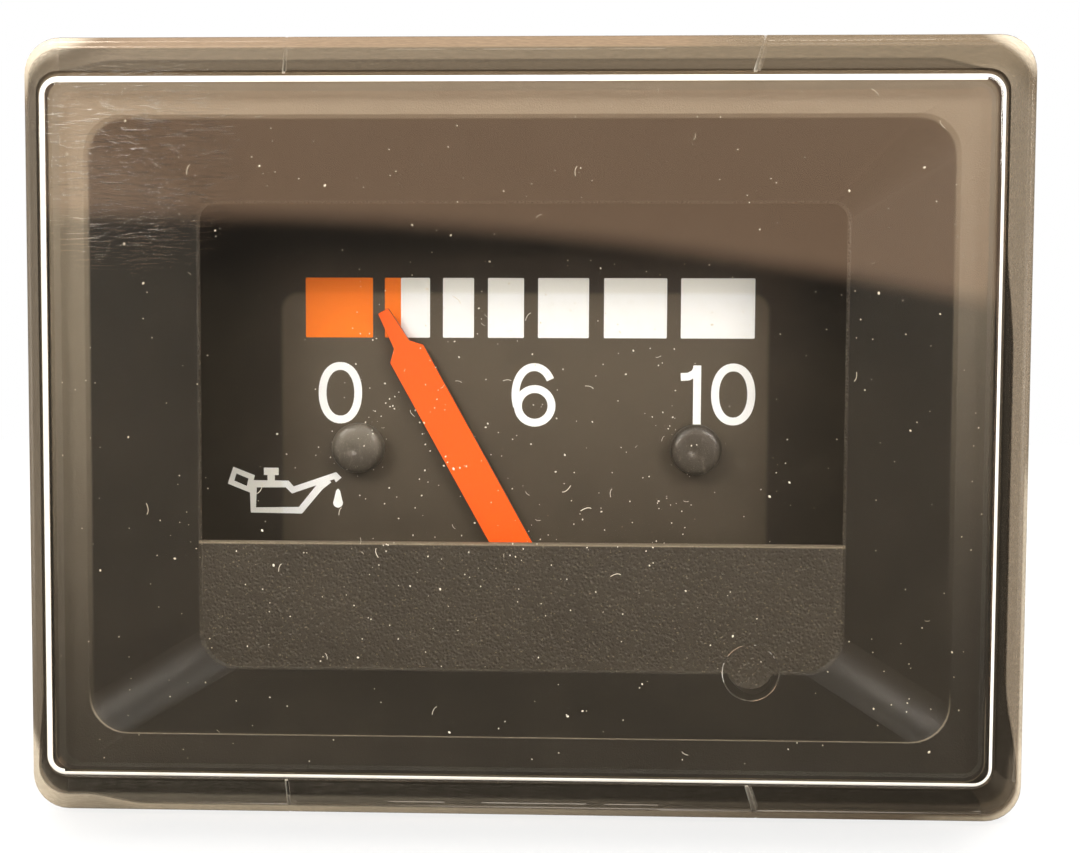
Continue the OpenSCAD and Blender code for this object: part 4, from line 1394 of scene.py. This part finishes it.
def arc(centre: Point, half_w: float, half_h: float, start: float, end: float,
        power: float = 2.0, steps: int = 32) -> list[Point]:
    """Walk along a rounded oval.

    Args:
        centre: Its centre.
        half_w: Half its width.
        half_h: Half its height.
        start: Angle of the first point in degrees.
        end: Angle of the last point in degrees.
        power: 2 for an ellipse, and more for a squarer oval.
        steps: Number of steps.

    Returns:
        The points, in millimetres.
    """
    walk = []
    for i in range(steps + 1):
        angle = math.radians(start + (end - start) * i / steps)
        across, up = math.cos(angle), math.sin(angle)
        walk.append((centre[0] + half_w * math.copysign(abs(across) ** (2 / power), across),
                     centre[1] + half_h * math.copysign(abs(up) ** (2 / power), up)))
    return walk


@dataclass
class Cover:
    """Clear cover: lens, flared walls and skirt, with two snap tongues.

    The rim stands out beyond the face by the spread on each side. A tongue's two places are
    those of its slits at the face and at the rim. A hook has a length, a rise and a run, and
    the crest's two ends lie ahead of its start. The gate mark is upright for a share of its
    height, and its top has a share of its radius. Dirt and dust lie a skin off the surface,
    and the film of dirt and painted reflection ends short of the face and of the rim. A pale
    finish on the front edge's round is a painted highlight, wider on the upper left.
    """

    face_spread: Point = (5.52, 5.54)
    rim_r: float = 2.6
    face_r: float = 1.25
    edge_r: float = 0.35
    edge_steps: int = 6
    edge_bevel: float = 0.12
    # The painted highlight: on the upper left a band of this width on the flat face takes it, and the
    # edge's round takes it up to this share of its depth.
    worn: float = 0.1
    worn_share: float = 0.8
    large_face: float = 100.0
    flare: float = 11.0
    lens: float = 1.8
    flare_wall: float = 0.85
    skirt_wall: float = 1.1
    skin: float = 0.01
    film_ends: Point = (1.0, 0.3)
    tongue: Point = (15.0, 17.0)
    slit: float = 0.18
    slit_start: float = 1.2
    cut_past: float = 1.0
    hook: Triple = (20.0, 0.5, 1.5)
    hook_inset: float = 0.5
    hook_root: float = 0.5
    hook_crest: Point = (0.4, 0.6)
    gate: Point = (15.2, -15.47)
    gate_r: float = 1.85
    gate_height: float = 0.12
    gate_root: float = 0.4
    gate_draft: Point = (0.6, 0.97)
    dust_inset: float = 1.0
    dusty_middle: Outline = Outline.centred(24.0, 20.0, 8.0, -1.0)

    def __post_init__(self) -> None:
        """Take the rim's size from the frame."""
        low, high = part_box("clear_cover")
        self.width = (high.x - low.x) / MM
        self.height = (high.z - low.z) / MM
        self.end = (high.y - low.y) / MM

    def spread(self, depth: float) -> tuple[float, float]:
        """Measure the flare outside.

        Args:
            depth: How deep, in millimetres.

        Returns:
            Its width and height there.
        """
        left = 1 - depth / self.flare
        return (self.width - 2 * self.face_spread[0] * left,
                self.height - 2 * self.face_spread[1] * left)

    def inner_face(self) -> Outline:
        """Draw the lens inside.

        Returns:
            Its outline.
        """
        width, height = self.spread(self.lens)
        return Outline.centred(width - 2 * self.flare_wall, height - 2 * self.flare_wall,
                               self.face_r - self.edge_r)

    def shell(self) -> bpy.types.Object:
        """Loft the cover from the front face round the skirt to the lens inside.

        Returns:
            The cover, without slits, hooks or gate mark.
        """
        width, height = self.spread(0.0)
        leave = 90 - math.degrees(math.atan(self.face_spread[0] / self.flare))
        worn = self.edge_r + self.worn
        rows = [Outline.centred(width - 2 * worn, height - 2 * worn, self.face_r - worn).at(0.0)]
        for i in range(self.edge_steps + 1):
            turn = math.radians(leave * i / self.edge_steps)
            inset = self.edge_r * (1 - math.sin(turn))
            ring = Outline.centred(width - 2 * inset, height - 2 * inset, self.face_r - inset)
            rows.append(ring.at(self.edge_r * (1 - math.cos(turn))))
        rim = Outline.centred(self.width, self.height, self.rim_r)
        inside = rim.grown(-self.skirt_wall)
        rows += [rim.at(self.flare), rim.at(self.end), inside.at(self.end), inside.at(self.flare),
                 self.inner_face().at(self.lens)]
        made = Shell()
        made.tube(rows)
        piece = made.object("cover_shell", COVER)
        # Painted highlight: the edge's round near the front, and on the upper left a band of the flat
        # face, take the pale finish.
        piece.data.materials.append(PALE_EDGE.material())
        for face in piece.data.polygons:
            depth = (face.center.y - FRONT) / MM
            upper_left = face.center.z > face.center.x and face.area < self.large_face * MM ** 2
            worn = upper_left or depth > self.skin
            face.material_index = int(worn and depth < self.edge_r * self.worn_share)
        return bevelled(piece, self.edge_bevel, angle=20)

    def grime(self) -> None:
        """Lay the thin film of dirt and painted reflection on the outside of the flare."""
        low, high = self.skin, 2 * self.skin
        first, last = self.film_ends[0], self.flare - self.film_ends[1]
        rows = []
        for depth, by in ((first, low), (first, high), (last, high), (last, low)):
            width, height = self.spread(depth)
            radius = self.face_r + (self.rim_r - self.face_r) * depth / self.flare
            rows.append(Outline.centred(width, height, radius).grown(by).at(depth))
        film = Shell()
        film.tube(rows, ends=False)
        keep(film.object("flare_grime_and_sheen", GRIME_AND_SHEEN), Body.CASE, "clear_cover")

    def slits(self) -> bpy.types.Object:
        """Make the cutters of the four slits, whose walls come out in the pale edge finish.

        Returns:
            The cutters, as one object.
        """
        half = self.slit / 2
        near, far = self.tongue
        inner, end = self.inner_face().top, self.end + self.cut_past
        outline = [(near - half, self.slit_start), (near + half, self.slit_start),
                   (far + half, self.flare), (far + half, end), (far - half, end),
                   (far - half, self.flare)]
        cutter = Shell()
        for side in (-1, 1):
            for level in (-1, 1):
                cutter.tube([[spot(side * x, depth, level * z) for x, depth in outline]
                             for z in (inner, self.height / 2 + self.cut_past)])
        made = cutter.object("slit_cutter", COVER)
        made.data.materials.append(PALE_EDGE.material())
        for face in made.data.polygons:
            face.material_index = 1
        return made

    def hooks(self) -> bpy.types.Object:
        """Make the hooks of both tongues, rooted in the skirt.

        Returns:
            The hooks, as one object.
        """
        length, rise, run = self.hook
        first, last = self.hook_crest
        root = self.height / 2 - self.skirt_wall
        base = root + self.hook_root
        start = self.end - self.hook_inset
        added = Shell()
        for level in (-1, 1):
            profile = [(start, base), (start, root), (start - first, root - rise),
                       (start - last, root - rise), (start - run, root), (start - run, base)]
            added.tube([[spot(x, depth, level * z) for depth, z in profile]
                        for x in (-length / 2, length / 2)])
        return added.object("hook_pair", COVER)

    def gate_mark(self) -> bpy.types.Object:
        """Make the round gate mark inside the lens.

        Returns:
            The mark.
        """
        height, share = self.gate_draft
        added = Shell()
        turned(added, [(self.gate_r, self.lens - self.gate_root),
                       (self.gate_r, self.lens + self.gate_height * height),
                       (self.gate_r * share, self.lens + self.gate_height)], self.gate)
        return added.object("gate_mark", COVER)

    def specks(self) -> None:
        """Strew dust and lint over the front face."""
        width, height = self.spread(0.0)
        face = Outline.centred(width - 2 * self.dust_inset, height - 2 * self.dust_inset, self.face_r)
        for name, area, grain, density, sizes, seed in (
                ("fine_lens_dust", face, speck, 150000.0, (0.5, 1.2), 7),
                ("coarse_lens_dust", face, speck, 20000.0, (1.2, 2.3), 3),
                ("middle_lens_dust", self.dusty_middle, speck, 420000.0, (0.5, 1.6), 11),
                ("lens_lint", face, lint, 9000.0, (0.2, 0.75), 4),
                ("middle_lens_lint", self.dusty_middle, lint, 60000.0, (0.2, 0.7), 9)):
            strewn(name, area.at(-self.skin), grain, seed, density, sizes, "clear_cover")

    def build(self) -> None:
        """Build the cover and what lies on it."""
        made = self.shell()
        joined(made, self.hooks(), "UNION")
        joined(made, self.gate_mark(), "UNION")
        joined(made, self.slits(), "DIFFERENCE")
        keep(made, Body.CASE, "clear_cover", "clear_cover")
        self.grime()
        self.specks()


@dataclass
class Mask:
    """Bezel mask: flat rim, funnel and shelf panel in one thin moulding.

    The face, the skirt and the mouth each have a width, a height and a corner radius, the
    window a width, a top and a corner radius, and the panel a bottom and a corner radius. The
    waist is wider and higher than the mouth by its first two numbers.
    """

    front: float = 1.95
    floor: float = 7.15
    back: float = 11.0
    wall: float = 1.5
    face: Triple = (60.8, 45.0, 1.3)
    skirt: Triple = (69.5, 53.5, 1.8)
    skirt_inner_r: float = 1.5
    mouth: Triple = (56.18, 40.23, 2.5)
    mouth_z: float = 0.15
    waist: Triple = (0.4, 0.2, 2.0)
    window: Triple = (44.08, 15.465, 1.1)
    panel: Point = (-16.465, 2.6)
    shelf: float = -7.77
    flat: Point = (15.86, -15.965)
    flat_r: float = 1.65
    flat_start: float = 0.1
    edge: float = 0.12
    draft: float = 0.5
    bevel: float = 0.08

    def shell(self) -> bpy.types.Object:
        """Loft the mask as one closed wall with a window in it.

        Returns:
            The mask, without its round flat.
        """
        # The window's edge is the outline's upper part, from the shelf on one side to the other.
        steps = 8
        upper = slice(steps + 1, 3 * steps + 5)
        face = Outline.centred(*self.face)
        floor = Outline(self.window[0], self.window[1], self.panel[0], self.window[2], self.panel[1])
        mouth = Outline.centred(*self.mouth, self.mouth_z)
        skirt = Outline.centred(*self.skirt)
        inner = Outline.centred(self.skirt[0] - 2 * self.wall, self.skirt[1] - 2 * self.wall,
                                self.skirt_inner_r)
        wider, higher, waist_r = self.waist
        waist = Outline.centred(self.mouth[0] + wider, self.mouth[1] + higher, waist_r, self.mouth_z)
        made = Shell()
        outside = made.wall([ring.at(depth, steps, self.shelf) for ring, depth in (
            (skirt, self.back), (face, self.front + self.edge), (face.grown(-self.edge), self.front),
            (mouth, self.front), (floor, self.floor))])
        inside = made.wall([ring.at(depth, steps, self.shelf) for ring, depth in (
            (floor.grown(self.wall), self.floor + self.wall), (waist, self.front + self.wall),
            (inner, self.back))])
        made.strip(inside[-1], outside[0])
        ahead, back = outside[-1], inside[0]
        edge = floor.grown(self.draft).at(self.floor + self.wall, steps, self.shelf)
        behind = made.ring(edge[upper])
        made.strip(ahead[upper], behind)
        made.strip(behind, back[upper], closed=False)
        made.cap([*ahead[upper.stop - 1:], *ahead[:upper.start + 1]])
        made.cap([behind[0], *reversed(back[:upper.start + 1]), *reversed(back[upper.stop - 1:]),
                  behind[-1]])
        return made.object("bezel_moulding", MASK)

    def pocket(self) -> bpy.types.Object:
        """Make the cutter of the round flat in the lower slope.

        Returns:
            The cutter.
        """
        cutter = Shell()
        turned(cutter, [(self.flat_r, self.front + self.flat_start), (self.flat_r, self.floor)],
               self.flat)
        return cutter.object("flat_cutter", MASK)

    def build(self) -> None:
        """Build the mask."""
        made = joined(self.shell(), self.pocket(), "DIFFERENCE")
        bevelled(made, self.bevel, 3, 22)
        keep(made, Body.CASE, "bezel_black", "bezel_mask")


@dataclass
class Dial:
    """Dial plate with its print, and the two stop pegs.

    The print's places are millimetres from the middle of the gauge. A peg's crown falls to its
    edge as a rounded square does, the more so the higher its squareness. Its edge is cut by an
    inset, ahead of and behind the crown's end, and the shank's tip narrows over a length.
    """

    film: float = 0.02
    stroke: float = 0.6
    sign_stroke: float = 0.564
    block_z: Point = (7.05, 11.61)
    block_corner: float = 0.08
    red_blocks: tuple[Point, ...] = ((-17.05, -11.87), (-10.95, -9.71))
    white_blocks: tuple[Point, ...] = ((-9.71, -7.48), (-6.48, -4.10), (-3.03, -0.27), (0.81, 4.70),
                                       (5.85, 10.65), (11.71, 17.33))
    peg_r: float = 1.9
    dome: float = 0.45
    squareness: float = 5.0
    crown_steps: int = 14
    crown_edge: Triple = (0.05, 0.02, 0.06)
    shank_r: float = 1.0
    shank_tip: Point = (0.3, 0.5)
    dent: Point = (-0.25, -0.1)
    dent_r: float = 0.3
    dent_depth: float = 0.12
    grit_reach: float = 0.55
    grit_density: float = 1100000.0
    grit_sizes: Point = (0.4, 1.1)
    hole_r: float = 1.85
    hole_reach: float = 3.0

    def __post_init__(self) -> None:
        """Take the dial's face from the frame."""
        self.depth = depths("dial_plate")[0]

    def film_of(self, shell: Shell, ring: Iterable[Point], shift: float = 0.0) -> None:
        """Add a closed outline to a shell, as a film on the plate.

        Args:
            shell: The mesh that takes it.
            ring: The outline, in millimetres.
            shift: Millimetres that it moves to the right.
        """
        points = list(ring)
        shell.tube([[spot(x + shift, depth, z) for x, z in points]
                    for depth in (self.depth - self.film, self.depth + self.film)])

    def blocks(self, name: str, spans: Sequence[Point], finish: Finish) -> None:
        """Print blocks of the scale.

        Args:
            name: The piece's name.
            spans: Left and right end of each block.
            finish: The ink.
        """
        low, high = self.block_z
        made = Shell()
        for left, right in spans:
            block = Outline(right - left, high, low, self.block_corner, self.block_corner)
            self.film_of(made, block.points(3), (left + right) / 2)
        keep(made.object(name, finish), Body.CASE, "dial_black")

    def printed(self, name: str, strokes: Sequence[tuple[Sequence[Point], bool]],
                stroke: float) -> None:
        """Print lines of one width in white.

        Args:
            name: The piece's name.
            strokes: Points in millimetres, and whether the line closes on itself.
            stroke: Width of the lines, in millimetres.
        """
        made = ribbon_pattern().laid(drawn(name, strokes), WHITE_INK, Stroke=stroke * MM,
                                     Film=2 * self.film * MM)
        made.data.transform(Matrix.Translation((0.0, FRONT + self.depth * MM, 0.0)))
        keep(made, Body.CASE, "dial_black")

    def figures(self) -> None:
        """Print 0, 6 and 10."""
        zero = [(arc((x, 2.8), 1.38, 2.06, 0, 351, 2.15, 40), True) for x in (-14.4, 15.75)]
        bowl = (arc((0.59, 1.86), 1.29, 1.29, 0, 351, 2.0, 40), True)
        spine = (arc((0.55, 2.72), 1.44, 2.1, 32, 205, 2.1), False)
        one = ([(13.0, 0.5), (13.0, 5.0)], False)
        flag = ([(11.75, 4.12), (12.35, 4.15), (12.8, 4.4), (13.02, 4.8)], False)
        self.printed("scale_figures", [*zero, bowl, spine, one, flag], self.stroke)

    def oil_can(self) -> None:
        """Print the common sign of an oil can with a drop."""
        handle = ([(-22.63, -3.22), (-21.32, -3.74), (-21.58, -4.7), (-22.93, -4.15)], True)
        top = [(-21.3, -4.27), (-18.56, -4.27), (-18.11, -4.73), (-14.82, -3.6), (-14.54, -3.93)]
        under = [(-21.2, -4.3), (-21.2, -6.3), (-17.53, -6.3), (-16.0, -4.45), (-15.3, -3.9)]
        stem = [(-19.8, -3.4), (-19.8, -4.3)]
        cap = [(-20.36, -3.3), (-19.22, -3.3)]
        self.printed("oil_can_sign", [handle, *((line, False) for line in (top, under, stem, cap))],
                     self.sign_stroke)
        drop = Shell()
        self.film_of(drop, [*arc((-14.6, -5.7), 0.38, 0.38, 150, 390, 2.0, 10),
                            (-14.45, -4.75), (-14.6, -4.6), (-14.75, -4.75)])
        keep(drop.object("oil_drop_sign", WHITE_INK), Body.CASE, "dial_black")

    def peg(self, node: str) -> None:
        """Turn one stop peg, with a small dent in its crown and grit round its foot.

        Args:
            node: Name of the peg's CAD node.
        """
        x, z = middle(node)
        front, back = depths(node)
        edge = front + self.dome
        steps = self.crown_steps
        crown = [(self.peg_r * share, front + self.dome * (1 - math.sqrt(1 - share ** self.squareness)))
                 for share in (math.sin(math.pi / 2 * i / steps) for i in range(1, steps))]
        inset, before, behind = self.crown_edge
        narrow, tip = self.shank_tip
        profile = [*crown, (self.peg_r - inset, edge - before), (self.peg_r, edge + behind),
                   (self.peg_r, self.depth), (self.shank_r, self.depth), (self.shank_r, back - tip),
                   (self.shank_r - narrow, back)]
        made = Shell()
        turned(made, profile, (x, z))
        piece = made.object(node + "_moulding", PEG, sharp=50)
        for vertex, arm in arms(piece, (x + self.dent[0], z + self.dent[1])):
            if vertex.co.y < FRONT + edge * MM:
                vertex.co.y += self.dent_depth * MM * math.exp(-(arm.length / self.dent_r) ** 2)
        keep(piece, Body.CASE, "peg_rubber", node)
        outer = self.peg_r + self.grit_reach
        ring = arc((x, z), outer, outer, 0, 345, 2.0, 23)
        strewn(node + "_grit", [spot(across, self.depth - self.film / 2, up) for across, up in ring],
               speck, 5 + int(x > 0), self.grit_density, self.grit_sizes, "dial_black")

    def build(self) -> None:
        """Build the print and the pegs, and finish the plate."""
        plate = copy_of("dial_plate", "drilled_dial", DIAL)
        pivot = middle("spindle")
        for vertex, arm in arms(plate, pivot):
            if arm.length < self.hole_reach:
                reach(vertex, pivot, arm * (self.hole_r / arm.length))
        keep(plate, Body.CASE, "dial_black", "dial_plate")
        self.blocks("red_scale_blocks", self.red_blocks, RED_INK)
        self.blocks("white_scale_blocks", self.white_blocks, WHITE_INK)
        self.figures()
        self.oil_can()
        for node in ("stop_peg_left", "stop_peg_right"):
            self.peg(node)


@dataclass
class Needle:
    """Pointer blade with its hub, and what turns with it.

    The blade's edges run straight from a little ahead of the pivot, and what stands out beyond
    them and inside the outer radius is drawn in.
    """

    blade_edge: float = 0.06
    blade_half: float = 1.46
    hub_r: float = 1.85
    outer: float = 3.3
    straight_from: float = 1.1
    side_slope: float = 0.5

    def drawn_in(self, piece: bpy.types.Object) -> bpy.types.Object:
        """Draw the disc on the pivot in, to where the shelf hides it.

        Args:
            piece: The piece, which is changed.

        Returns:
            The same piece.
        """
        pivot = middle("pointer_hub")
        pairs = arms(piece, pivot)
        along = sum((arm for _, arm in pairs if arm.length > 2 * self.outer), Vector((0.0, 0.0)))
        along = along.normalized()
        for vertex, arm in pairs:
            ahead = along * arm.dot(along)
            aside = arm - ahead
            wide = not along.length or aside.length > self.blade_half
            if not (self.hub_r < arm.length < self.outer and wide):
                continue
            if arm.dot(along) > self.straight_from:
                reach(vertex, pivot, ahead + aside.normalized() * self.blade_half)
            else:
                reach(vertex, pivot, arm * (self.hub_r / arm.length))
        return piece

    def build(self) -> None:
        """Round the blade's edges, darken its sides and finish the turned pieces."""
        blade = self.drawn_in(copy_of("pointer_blade", "painted_pointer", POINTER_PAINT))
        blade.data.materials.append(HUB.material())
        for face in blade.data.polygons:
            face.material_index = int(abs(face.normal.y) < self.side_slope)
        bevelled(blade, self.blade_edge)
        keep(blade, Body.POINTER, "pointer_orange", "pointer_blade")
        hub = self.drawn_in(copy_of("pointer_hub", "turned_hub", HUB))
        keep(hub, Body.POINTER, "hub_black", "pointer_hub")
        dress("pointer_counterweight", BRASS)
        dress("spindle", STEEL)
        dress("rotor_magnet", MAGNET)


@dataclass
class Movement:
    """Crossed coils, bearings, shield can, light box and board behind the dial."""

    finishes: tuple[tuple[str, Finish], ...] = (
        ("front_bobbin", NYLON), ("rear_bobbin", NYLON), ("bearing_bushes", BRASS),
        ("inner_coil", INNER_WIRE), ("outer_coil", OUTER_WIRE), ("shield_can", CAN),
        ("coil_pins", TINNED), ("light_box", TRAY), ("circuit_board", BOARD),
        ("ballast_resistor", RESISTOR), ("dust_seal", FOAM))

    def build(self) -> None:
        """Finish each piece inside."""
        for node, finish in self.finishes:
            dress(node, finish)


@dataclass
class Back:
    """Rear housing with its studs, screws and terminals."""

    thread_root: float = 1.66
    thread_pitch: float = 0.7
    thread_start: float = 0.5
    thread_end: float = 0.3
    stud_head: float = 3.3
    stud_grip: float = 2.4
    stud_r: float = 2.0
    stud_tip: Point = (0.45, 0.5)
    stud_edge: float = 0.08
    housing_edge: float = 0.12
    blade_edge: float = 0.09
    screw_edge: float = 0.07

    def studs(self) -> None:
        """Turn both fixing studs and cut their threads."""
        low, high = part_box("fixing_studs")
        head, grip, root = self.stud_head, self.stud_grip, self.thread_root
        narrow, tip = self.stud_tip
        place = (high.x - low.x) / 2 / MM - head
        front, end = depths("fixing_studs")
        wall = depths("circuit_board")[1]
        seat = depths("rear_housing")[1]
        profile = [(head, front), (head, wall), (grip, wall), (grip, seat), (root, seat),
                   (root, end - tip), (root - narrow, end)]
        body = Shell()
        for side in (-1, 1):
            turned(body, profile, (side * place, 0.0), 40)
        made = bevelled(body.object("threaded_studs", STEEL), self.stud_edge)
        keep(made, Body.CASE, "steel", "fixing_studs")
        feet = drawn("stud_threads", [([(-place, 0.0)], False), ([(place, 0.0)], False)])
        feet.data.transform(Matrix.Translation((0.0, FRONT + (seat + self.thread_start) * MM, 0.0)))
        length = end - seat - 2 * self.thread_start - self.thread_end
        wound = thread_pattern().laid(feet, STEEL, Turns=length / self.thread_pitch,
                                      Root=root * MM, Length=length * MM,
                                      Ridge=(self.stud_r - root) * MM)
        keep(wound, Body.CASE, "steel")

    def build(self) -> None:
        """Build the back."""
        housing = copy_of("rear_housing", "housing_moulding", HOUSING)
        bevelled(housing, self.housing_edge, angle=30)
        keep(housing, Body.CASE, "housing_black", "rear_housing")
        for node in ("supply_terminal", "sender_terminal", "earth_terminal"):
            blade = bevelled(copy_of(node, node + "_blade", TINNED), self.blade_edge)
            keep(blade, Body.CASE, "tinned_brass", node)
        screws = bevelled(copy_of("rear_screws", "slotted_screws", STEEL), self.screw_edge)
        keep(screws, Body.CASE, "steel", "rear_screws")
        self.studs()


@dataclass
class Lamp:
    """Bulb holder with its contacts and bulb, which turn together."""

    holder_edge: float = 0.15
    contact_edge: float = 0.07

    def build(self) -> None:
        """Build the holder and finish the bulb."""
        holder = bevelled(copy_of("bulb_holder", "holder_moulding", HOLDER), self.holder_edge)
        keep(holder, Body.BULB, "holder_plastic", "bulb_holder")
        contacts = bevelled(copy_of("bulb_contacts", "holder_contacts", TINNED), self.contact_edge)
        keep(contacts, Body.BULB, "tinned_brass", "bulb_contacts")
        dress("bulb_glass", BULB_GLASS)


@dataclass(frozen=True)
class SoftBox:
    """Round soft lamp that faces the gauge: its place and size in metres, and its power."""

    name: str
    place: Triple
    size: float
    power: float
    tone: Colour = (1.0, 0.96, 0.9)

    def hang(self) -> None:
        """Put the lamp in the scene."""
        light = bpy.data.lights.new(self.name, "AREA")
        light.shape = "DISK"
        light.size = self.size
        light.energy = self.power
        light.color = self.tone
        made = linked(self.name, light)
        place = Vector(self.place)
        aim = Vector((0.0, FRONT / 2, 0.0)) - place
        made.matrix_world = Matrix.Translation(place) @ aim.to_track_quat("-Z", "Y").to_matrix().to_4x4()


@dataclass
class Studio:
    """Camera, floor, room and lamps around the gauge.

    The eye is a place as spot() takes it, the tilt is in degrees, and the focal length, the
    picture's size and its rise are in the photograph's pixels. The haze is the room's bright
    upper half as the lens mirrors it: its height, slant and sag where the room is 1 away.
    """

    eye: Triple = (4.1, -82.5, 0.8)
    tilt: Triple = (2.71, 0.38, -1.76)
    focal: float = 1300.0
    picture: tuple[int, int] = (1080, 853)
    rise: float = 55.0
    sensor: float = 36.0
    floor_half: float = 1.5
    floor_other: Colour = (0.6, 0.59, 0.57)
    floor_mirrored: Colour = (0.9, 0.9, 0.88)
    floor_glow: float = 0.75
    beside: Point = (0.036, 0.04)
    ahead: Point = (0.0, -0.03)
    haze_height: float = 0.139
    haze_slant: float = -0.107
    haze_sag: float = 0.159
    haze_edge: Point = (-0.012, 0.012)
    haze_end: Point = (0.22, 0.4)
    dim_from: Point = (-0.03, -0.1)
    bright_room: Colour = (2.1, 1.36, 0.87)
    dark_room: Colour = (0.13, 0.11, 0.09)
    dim_room: Colour = (0.22, 0.18, 0.13)
    shade: Colour = (0.065, 0.053, 0.038)
    ceiling: Colour = (0.5, 0.34, 0.2)
    ceiling_from: Point = (0.2, 0.75)
    sky: Colour = (1.0, 0.95, 0.88)
    sky_from: Point = (0.7, 0.95)
    side_edge: Point = (-0.12, 0.05)
    white_from: Point = (0.87, 0.9)
    soft_low: Colour = (0.7, 0.69, 0.66)
    soft_high: Colour = (1.2, 1.18, 1.14)
    soft_from: Point = (-0.5, 0.6)
    lamps: tuple[SoftBox, ...] = (
        SoftBox("right_box", (0.28, -0.55, 0.2), 0.16, 1.15),
        SoftBox("left_box", (-0.28, -0.54, 0.26), 0.16, 1.42),
        SoftBox("top_box", (0.1, -0.32, 0.5), 0.3, 1.2, (1.0, 0.985, 0.96)),
        SoftBox("back_box", (-0.3, 0.35, 0.7), 0.25, 1.2, (1.0, 0.97, 0.94)))

    def camera(self) -> None:
        """Set the camera where the photograph was taken from."""
        about_x, about_y, about_z = (math.radians(angle) for angle in self.tilt)
        turn = (Matrix.Rotation(about_z, 3, "Z") @ Matrix.Rotation(about_y, 3, "Y")
                @ Matrix.Rotation(about_x, 3, "X"))
        right, ahead, up = turn
        lens = bpy.data.cameras.new("camera")
        lens.sensor_width = self.sensor
        lens.lens = self.focal / self.picture[0] * self.sensor
        lens.shift_y = self.rise / self.picture[0]
        lens.clip_start = 0.001
        made = linked("camera", lens)
        made.matrix_world = Matrix.Translation(spot(*self.eye)) \
            @ Matrix((right, up, -ahead)).transposed().to_4x4()
        bpy.context.scene.camera = made

    def floor_paint(self) -> bpy.types.Material:
        """Make the floor's paint, which lets mirrored rays pass beside and ahead of the gauge.

        Returns:
            The paint.
        """
        paint = bpy.data.materials.new("floor_paint")
        paint.use_nodes = True
        graph = Graph(paint.node_tree)
        seen = graph.ray("Is Camera Ray")
        polished = graph.ray("Is Glossy Ray") | graph.ray("Is Transmission Ray")
        x, y, _ = graph.axes(graph.place)
        open_part = graph.rise(abs(x), *self.beside) | graph.rise(y, *self.ahead)
        other = graph.tint(polished, self.floor_other, self.floor_mirrored)
        matt = graph.node("ShaderNodeBsdfDiffuse", None, {"Color": graph.tint(seen, other, WHITE)})
        glow = graph.node("ShaderNodeEmission")
        clear = graph.node("ShaderNodeBsdfTransparent")
        lit = graph.blend(seen * self.floor_glow, matt, glow)
        holed = graph.blend(polished * open_part, lit, clear)
        graph.node("ShaderNodeOutputMaterial", None, {"Surface": holed.outputs[0]})
        return paint

    def ground(self) -> None:
        """Lay a pale floor under the rim, white to the camera but for the shadow."""
        sheet = Shell()
        sheet.cap(sheet.ring([Vector((x * self.floor_half, y * self.floor_half, FLOOR))
                              for x, y in ((-1, -1), (1, -1), (1, 1), (-1, 1))]))
        made = sheet.object("floor")
        made.data.materials.append(self.floor_paint())

    def mirrored_room(self, graph: Graph) -> Wire:
        """Make the room that the gauge mirrors.

        Args:
            graph: The world's tree.

        Returns:
            The colour: a bright and a dim half in front, shade at the sides and white behind.
        """
        x, y, z = graph.axes(graph.wire("ShaderNodeTexCoord", "Generated"))
        toward = (0.0 - y) | 0.02
        aside = x / toward
        level = z / toward - aside * self.haze_slant + aside * aside * self.haze_sag - self.haze_height
        lower = graph.tint(graph.rise(level, *self.dim_from), self.dark_room, self.dim_room)
        upper = graph.tint(graph.rise(level, *self.haze_end), self.bright_room, self.sky)
        front = graph.tint(graph.rise(level, *self.haze_edge), lower, upper)
        side = graph.tint(graph.rise(z, *self.ceiling_from) * 0.6, self.shade, self.ceiling)
        side = graph.tint(graph.rise(z | abs(x), *self.sky_from), side, self.sky)
        behind = graph.tint(graph.rise(y, *self.white_from), side, WHITE)
        return graph.tint(graph.rise(y, *self.side_edge), front, behind)

    def world(self) -> None:
        """Surround the gauge: white to the camera, soft on matt faces, a room in polished ones."""
        world = bpy.data.worlds.new("room")
        bpy.context.scene.world = world
        world.use_nodes = True
        graph = Graph(world.node_tree)
        up = graph.axes(graph.wire("ShaderNodeTexCoord", "Generated"))[2]
        soft = graph.tint(graph.rise(up, *self.soft_from), self.soft_low, self.soft_high)
        polished = graph.ray("Is Glossy Ray") | graph.ray("Is Transmission Ray")
        first = graph.maths("LESS_THAN", graph.ray("Diffuse Depth"), 0.5)
        seen = graph.tint(polished * first, soft, self.mirrored_room(graph))
        white = graph.tint(graph.ray("Is Camera Ray"), seen, WHITE)
        back = graph.node("ShaderNodeBackground", None, {"Color": white, "Strength": 1.0})
        graph.node("ShaderNodeOutputWorld", None, {"Surface": back.outputs[0]})

    def build(self) -> None:
        """Build the camera, the floor, the room and the lamps."""
        bpy.context.scene.view_settings.view_transform = "Standard"
        self.camera()
        self.ground()
        self.world()
        for lamp in self.lamps:
            lamp.hang()


def main() -> None:
    """Build every sub-assembly in order."""
    logging.basicConfig(level=logging.INFO, format="%(name)s: %(message)s")
    for part in (Cover(), Mask(), Dial(), Needle(), Movement(), Back(), Lamp(), Studio()):
        part.build()


if __name__ == "__main__":
    main()
